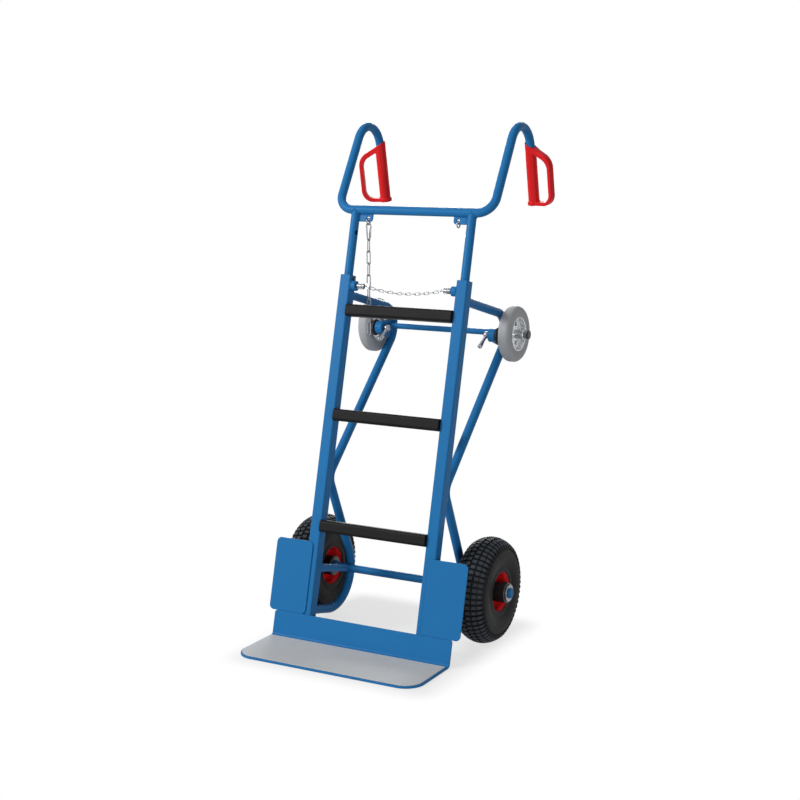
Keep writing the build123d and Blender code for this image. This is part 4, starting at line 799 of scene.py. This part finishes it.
def oval_link(name, length, width, wire, sides=8, bend=7):
    """A closed wire oval in the XY plane, with outside sizes in mm."""
    radius = (width - wire) / 2
    straight = (length - wire) / 2 - radius
    turns = [pi * i / bend - pi / 2 for i in range(bend + 1)]
    path = [(end * (straight + radius * cos(turn)), end * radius * sin(turn))
            for end in (1, -1) for turn in turns]
    points = []
    for i, (x, y) in enumerate(path):
        ax, ay = path[i - 1]
        bx, by = path[(i + 1) % len(path)]
        size = sqrt((bx - ax) ** 2 + (by - ay) ** 2)
        for angle in full_turn(sides):
            reach, rise = wire / 2 * cos(angle) / size, wire / 2 * sin(angle)
            points.append(((x + (by - ay) * reach) * MM, (y + (ax - bx) * reach) * MM, rise * MM))
    return new_object(name, mesh_from(name, points, net_faces(len(path), sides), LINK_CREASE))


lock_link = oval_link("lock_link", lock_length, LOCK_WIDTH, LOCK_WIRE)
print("lock link of", len(lock_link.data.polygons), "faces")

# %% Lock chain
CURVE_STEPS = 64


def curve_of(name, kind, count):
    """A curve in space with one spline. Returns both."""
    data = bpy.data.curves.new(name, "CURVE")
    data.dimensions = "3D"
    data.resolution_u = CURVE_STEPS
    spline = data.splines.new(kind)
    (spline.bezier_points if kind == "BEZIER" else spline.points).add(count - 1)
    return data, spline


def bezier_span(name, start, start_handle, end_handle, end):
    """A curve with one Bezier span."""
    data, span = curve_of(name, "BEZIER", 2)
    rows = ((start, start, start_handle), (end, end_handle, end))
    for point, (place, left, right) in zip(span.bezier_points, rows):
        point.handle_left_type = point.handle_right_type = "FREE"
        point.co, point.handle_left, point.handle_right = place, left, right
    return data


def chain(name, curve, link, count, body, node):
    """Links along a curve, as one plain mesh that stands for a CAD chain."""
    mesh = tree_mesh(curve, row_tree, "zinc", Link=link, Count=count, Roll=pi / 2)
    bpy.data.objects.remove(link)
    shade(mesh, LINK_CREASE)
    settle(new_object(name, mesh), "zinc", body, node)
    lift = min(v.co.z for v in mesh.vertices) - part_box(node)[0].z
    print(name, "ends", round(lift / MM, 2), "mm above the CAD chain's foot")


chain("lock_chain_links", bezier_span("lock_line", *sag), lock_link, LOCK_LINKS, "frame", "lock_chain")

# %% Load chain
LOAD_LINKS, LOAD_PITCH, LOAD_WIRE, LOAD_WIDTH = 8, 30.0, 3.0, 12.0
load_low, load_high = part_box("load_chain")
middle = (load_low + load_high) / 2
link_half = (LOAD_PITCH / 2 + LOAD_WIRE) * MM
top = Vector((middle.x, middle.y, load_high.z - link_half))
foot = Vector((middle.x, middle.y, load_low.z + link_half))
plumb = bezier_span("load_line", top, top.lerp(foot, 1 / 3), top.lerp(foot, 2 / 3), foot)
load_link = oval_link("load_link", LOAD_PITCH + 2 * LOAD_WIRE, LOAD_WIDTH, LOAD_WIRE, sides=10, bend=8)
chain("load_chain_links", plumb, load_link, LOAD_LINKS, "bow", "load_chain")

# %% [markdown]
# ## Support wheels
# The solid tyres are turned with full, round shoulders. A pressed rim has rolled lips, two ridges on its
# web, a raised ring on its hub tube and a small collar round each lightening hole. They are turned beads
# on a softened copy of the CAD rim; the ring tree sets the five collars. A plated skirt and a thin black
# disc make each push-on cap.

# %% Support tyres
SOLID_R, SOLID_HALF, SOLID_SEAT, SOLID_SHOULDER, SOLID_STEPS = 70.0, 16.0, 42.2, 11.5, 10
SOLID_WALL = [(SOLID_HALF, 47.5), (SOLID_HALF - 0.5, 46.8), (SOLID_HALF - 0.5, 44.0),
              (SOLID_HALF - 1.6, SOLID_SEAT)]
half = [(0.0, SOLID_R)]
for step in range(SOLID_STEPS + 1):
    turn = pi / 2 * step / SOLID_STEPS
    half.append((SOLID_HALF - SOLID_SHOULDER + SOLID_SHOULDER * sin(turn),
                 SOLID_R - SOLID_SHOULDER + SOLID_SHOULDER * cos(turn)))
solid_section = both_halves(half + SOLID_WALL)
for _, side in SIDES:
    hub = hub_place(f"support_wheel_{side}")
    solid = lathe(f"solid_tyre_{side}", solid_section, hub, steps=128)
    settle(new_object(f"solid_tyre_{side}", solid), "support_rubber", f"support_wheel_{side}",
           f"support_tyre_{side}")

# %% Rim beads
RIM_HOLES, HOLE_CIRCLE, HOLE_R, WEB_HALF, RIM_HALF, RIM_R = 5, 26.0, 8.0, 1.25, 13.5, 42.0
RIM_EDGE, RIM_STEPS, HUB_STEPS, COLLAR_STEPS = 0.5, 96, 64, 32
LIP_SINK, LIP_BEAD, RIDGE_SINK, RIDGES = 0.9, 1.3, 0.4, ((16.5, 1.5), (36.6, 1.3))
ROOT_OUT, ROOT_R, ROOT_BEAD = 0.6, 11.0, 1.6
COLLAR_SINK, COLLAR_OUT, COLLAR_BEAD = 0.2, 0.6, 0.95
HUB_RING = ((24.6, 10.8), (24.6, 12.1), (25.1, 12.6), (27.6, 12.6), (28.1, 12.1), (28.1, 10.8))


def settle_joined(name, meshes, slot, body, *replaced, crease=CREASE):
    """Settles several meshes as one piece."""
    bm = bmesh.new()
    for part in meshes:
        bm.from_mesh(part)
        bpy.data.meshes.remove(part)
    mesh = mesh_of(name, bm)
    shade(mesh, crease)
    settle(new_object(name, mesh), slot, body, *replaced)


def bead_section(a, r, size, steps=10):
    """A round bead's section at a place in a lathe section."""
    return [(a + size * cos(turn), r + size * sin(turn)) for turn in full_turn(steps)]


for sign, side in SIDES:
    hub = hub_place(f"support_wheel_{side}")
    soften(f"support_rim_{side}", RIM_EDGE * MM)
    sections = [(bead_section(end * RIM_HALF, RIM_R - LIP_SINK, LIP_BEAD), RIM_STEPS) for end in (-1, 1)]
    sections += [(bead_section(sign * (WEB_HALF - RIDGE_SINK), r, size), RIM_STEPS) for r, size in RIDGES]
    sections.append(([(sign * a, r) for a, r in HUB_RING], HUB_STEPS))
    sections.append((bead_section(sign * (WEB_HALF + ROOT_OUT), ROOT_R, ROOT_BEAD), HUB_STEPS))
    beads = [lathe("bead", section, hub, steps) for section, steps in sections]
    first_hole = (sign * (WEB_HALF - COLLAR_SINK) * MM, HOLE_CIRCLE * MM, 0.0)
    collar = bead_section(0.0, HOLE_R + COLLAR_OUT, COLLAR_BEAD, steps=8)
    collar = lathe("hole_collar", collar, first_hole, COLLAR_STEPS)
    beads.append(tree_mesh(collar, ring_tree, "galvanised", Count=RIM_HOLES, Centre=hub))
    settle_joined(f"support_rim_beads_{side}", beads, "galvanised", f"support_wheel_{side}")

# %% Push-on caps
CAP_LENGTH, CAP_FACE, CAP_STEPS = 13.0, 3.8, 48
DISC = [(-CAP_FACE, 0.2), (-CAP_FACE, 11.4), (0.6 - CAP_FACE, 12.0), (-1.5, 12.0), (-0.6, 11.0),
        (-0.15, 8.6), (0.0, 5.5), (0.0, 0.2)]
SKIRT = [(-CAP_LENGTH, 8.0), (-CAP_LENGTH, 11.2), (0.6 - CAP_LENGTH, 11.6), (2.4 - CAP_LENGTH, 11.6),
         (3.0 - CAP_LENGTH, 10.8), (-CAP_FACE, 10.8), (-CAP_FACE, 8.0)]
cap_low, cap_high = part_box("support_caps")
cap_y, cap_z = (cap_low.y + cap_high.y) / 2, (cap_low.z + cap_high.z) / 2
for name, section, slot, replaced in (("cap_discs", DISC, "black_plastic", ["support_caps"]),
                                      ("cap_skirts", SKIRT, "zinc", [])):
    turned = [lathe(name, [(sign * a, r) for a, r in section], (sign * cap_high.x, cap_y, cap_z), CAP_STEPS)
              for sign, _ in SIDES]
    settle_joined(name, turned, slot, "frame", *replaced)

# %% [markdown]
# ## Small hardware
# The snap hook gets its sprung gate with a hinge pin, the pull pins' knobs get a knurl, and each tyre
# valve gets a dust cap.

# %% Hook gate
HOOK_TOP_W, HOOK_LOW_W, HOOK_WIRE, GATE_SHORT, HINGE_UP, GATE_CREASE = 15.0, 10.0, 3.6, 4.0, 6.0, 50.0
HINGE = [(-3.4, 0.2), (-3.4, 1.3), (-3.0, 1.7), (3.0, 1.7), (3.4, 1.3), (3.4, 0.2)]
hook_low, hook_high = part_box("snap_hook")
middle = (hook_low + hook_high) / 2
gate_top, gate_foot = [
    Vector((middle.x + (width - HOOK_WIRE) / 2 * MM, middle.y, end - inwards * width / 2 * MM))
    for width, end, inwards in ((HOOK_TOP_W, hook_high.z, 1), (HOOK_LOW_W, hook_low.z, -1))]
gate_run = gate_foot - gate_top
gate_end = gate_run.length / MM - GATE_SHORT
gate_section = [(0.0, 1.0), (0.0, 2.2), (0.6, 2.6), (gate_end - 0.6, 2.6), (gate_end, 2.2), (gate_end, 1.0)]
gate = lathe("gate", gate_section, gate_top, steps=20, axis=gate_run)
hinge_place = gate_foot - gate_run.normalized() * HINGE_UP * MM
hinge = lathe("hinge", HINGE, hinge_place, steps=16, axis=(0, 1, 0))
settle_joined("hook_gate", [gate, hinge], "zinc", "bow", crease=GATE_CREASE)

# %% Knob knurl
KNURLS, KNOB_R, KNOB_IN, KNOB_OUT, KNURL_RISE, KNURL_SINK = 26, 7.0, 110.2, 128.2, 0.5, 0.6
KNURL_ROOT, KNURL_FOOT, KNURL_TOP = KNOB_R - KNURL_SINK, 0.62, 0.18
RIDGE = ((KNOB_IN + 2.0, KNOB_R), (KNOB_IN + 3.0, KNOB_R + KNURL_RISE),
         (KNOB_OUT - 3.0, KNOB_R + KNURL_RISE), (KNOB_OUT - 2.0, KNOB_R))
for sign, side in SIDES:
    ridge = [(sign * x * MM, r * MM, z * MM) for x, top in RIDGE
             for r, z in ((KNURL_ROOT, -KNURL_FOOT), (top, -KNURL_TOP), (top, KNURL_TOP),
                          (KNURL_ROOT, KNURL_FOOT))]
    ridge_mesh = mesh_from("ridge", ridge, net_faces(len(RIDGE), 4, closed=False))
    knurl = tree_mesh(ridge_mesh, ring_tree, "zinc", Count=KNURLS, Centre=(0.0, LOCK.y, LOCK.z))
    settle(new_object(f"knob_knurl_{side}", knurl), "zinc", f"lock_pin_{side}_body")

# %% Valve caps
VALVE_OUT, VALVE_TIP = 14.0, 32.0
DUST_CAP = [(-0.6, 0.3), (-0.6, 3.4), (0.0, 4.0), (6.6, 4.4), (7.4, 4.0), (7.4, 0.3)]
for sign, side in SIDES:
    tip = Vector(hub_place(f"main_wheel_{side}")) + Vector((sign * VALVE_OUT, 0, -VALVE_TIP)) * MM
    cap = lathe(f"valve_cap_{side}", DUST_CAP, tip, steps=24, axis=(0, 0, -1))
    settle(new_object(f"valve_cap_{side}", cap), "black_plastic", f"main_wheel_{side}")

# %% [markdown]
# ## Weld beads
# The frame and the bow are welded from tube and plate. Each seam is a curve, and the row tree lays ripples
# along it: small flat drops, closer together than they are long, under the paint. Seams on the frame become
# one mesh and seams on the bow another, because the bow slides.

# %% Seam helpers
DROP_SIZE, DROP_SPACING, WELD_CREASE = (2.7 * MM, 1.9 * MM, 1.9 * MM), 3.4, 60.0
bm = bmesh.new()
bmesh.ops.create_icosphere(bm, subdivisions=2, radius=1.0)
bmesh.ops.scale(bm, vec=DROP_SIZE, verts=bm.verts)
drop = new_object("weld_drop", mesh_of("weld_drop", bm))


def seam_ring(centre, along, radius, count=40):
    """Points of a circle round a direction."""
    out = Vector((1, 0, 0)) if abs(along.x) < 0.5 else UP
    up = along.cross(out)
    return [centre + (out * cos(turn) + up * sin(turn)) * radius * MM for turn in full_turn(count)]


def seam_arc(x, back, height, radius, angles):
    """Points of an arc at one x, about a place in rail coordinates."""
    return [rail_point(x, back + radius * cos(radians(t)), height + radius * sin(radians(t)))
            for t in angles]


def ripples(points, closed):
    """Ripples along a seam, as a mesh."""
    data, line = curve_of("seam", "POLY", len(points))
    for point, place in zip(line.points, points):
        point.co = (*place, 1.0)
    line.use_cyclic_u = closed
    ends = zip(points, points[1:] + points[:1] if closed else points[1:])
    count = max(3, round(sum((b - a).length for a, b in ends) / MM / DROP_SPACING))
    return tree_mesh(data, row_tree, "frame_blue", Link=drop, Count=count, Roll=0.0)


def weld(name, seams, body):
    """Ripples along several seams, as one piece."""
    parts = [ripples(points, closed) for points, closed in seams]
    print(len(seams), "seams")
    settle_joined(name, parts, "frame_blue", body, crease=WELD_CREASE)


print("weld drop", len(drop.data.polygons), "faces")

# %% Seams of the frame
RAIL_X, RAIL_IN, RAIL_OUT, RAIL_SIZE = 161.0, 146.0, 176.0, 30.0
STRUT_TOP, STRUT_FOOT, STRUT_SEAM_R, BRACE_UP, BRACE_SEAM_R = 857.0, 71.0, 11.3, 174.2, 10.3
AXLE_BACK, AXLE_SEAM_BACK, AXLE_SEAM_R, AXLE_ARC_R, AXLE_ARC_X = 177.0, 166.0, 9.4, 10.2, 9.0
BEND_BACK, BEND_UP, BEND_R, BRACKET_X = 221.0, 802.0, 43.4, 2.7
PLATE_BACK, FLANGE_SEAM, GUARD_SEAMS, GUARD_SEAM_LENGTH = 0.6, (12.0, 56.0), (78.0, 138.0, 198.0), 24.0
LOCK_SEAM_R, BEND_ARC, AXLE_ARC = 12.7, range(-8, 57, 4), range(-60, 61, 10)
seams = []
for sign, _ in SIDES:
    x = sign * RAIL_X
    for height, radius in ((STRUT_TOP, STRUT_SEAM_R), (STRUT_FOOT, STRUT_SEAM_R), (BRACE_UP, BRACE_SEAM_R)):
        seams.append((seam_ring(rail_point(x, RAIL_SIZE, height), BACK, radius), True))
    seams.append((seam_ring(rail_point(x, AXLE_SEAM_BACK, BRACE_UP), BACK, AXLE_SEAM_R), True))
    lock_foot = rail_point(sign * RAIL_IN, LOCK_BACK, LOCK_UP)
    seams.append((seam_ring(lock_foot, Vector((1, 0, 0)), LOCK_SEAM_R), True))
    lines = [(edge, FLANGE_SEAM) for edge in (RAIL_IN, RAIL_OUT)]
    lines += [(RAIL_OUT, (low, low + GUARD_SEAM_LENGTH)) for low in GUARD_SEAMS]
    seams += [([rail_point(sign * edge, PLATE_BACK, height) for height in ends], False)
              for edge, ends in lines]
    for face, *arc in ((BRACKET_X, BEND_BACK, BEND_UP, BEND_R, BEND_ARC),
                       (AXLE_ARC_X, AXLE_BACK, BRACE_UP, AXLE_ARC_R, AXLE_ARC)):
        seams += [(seam_arc(x + end * face, *arc), False) for end in (-1, 1)]
weld("frame_welds", seams, "frame")

# %% Seams of the bow
BAR_UP, BAR_BACK, SADDLE_R, SADDLE_STEPS = 1068.0, 15.0, 11.2, 48
GUSSET_BACK, GUSSET_EDGE = 14.8, 11.6
GUSSET_IN, GUSSET_OUT, GUSSET_LOW, GUSSET_HIGH = 34.0, 13.0, 27.0, 14.0
seams = []
for sign, _ in SIDES:
    saddle = [rail_point(sign * RAIL_X + SADDLE_R * cos(turn), BAR_BACK + SADDLE_R * sin(turn),
                         BAR_UP - SADDLE_R * abs(cos(turn))) for turn in full_turn(SADDLE_STEPS)]
    seams.append((saddle, True))
    for ends in (((GUSSET_IN, GUSSET_EDGE), (GUSSET_OUT, GUSSET_EDGE)),
                 ((GUSSET_EDGE, GUSSET_LOW), (GUSSET_EDGE, GUSSET_HIGH))):
        seams.append(([rail_point(sign * (RAIL_X - inside), GUSSET_BACK, BAR_UP - below)
                       for inside, below in ends], False))
weld("bow_welds", seams, "bow")
bpy.data.objects.remove(drop)
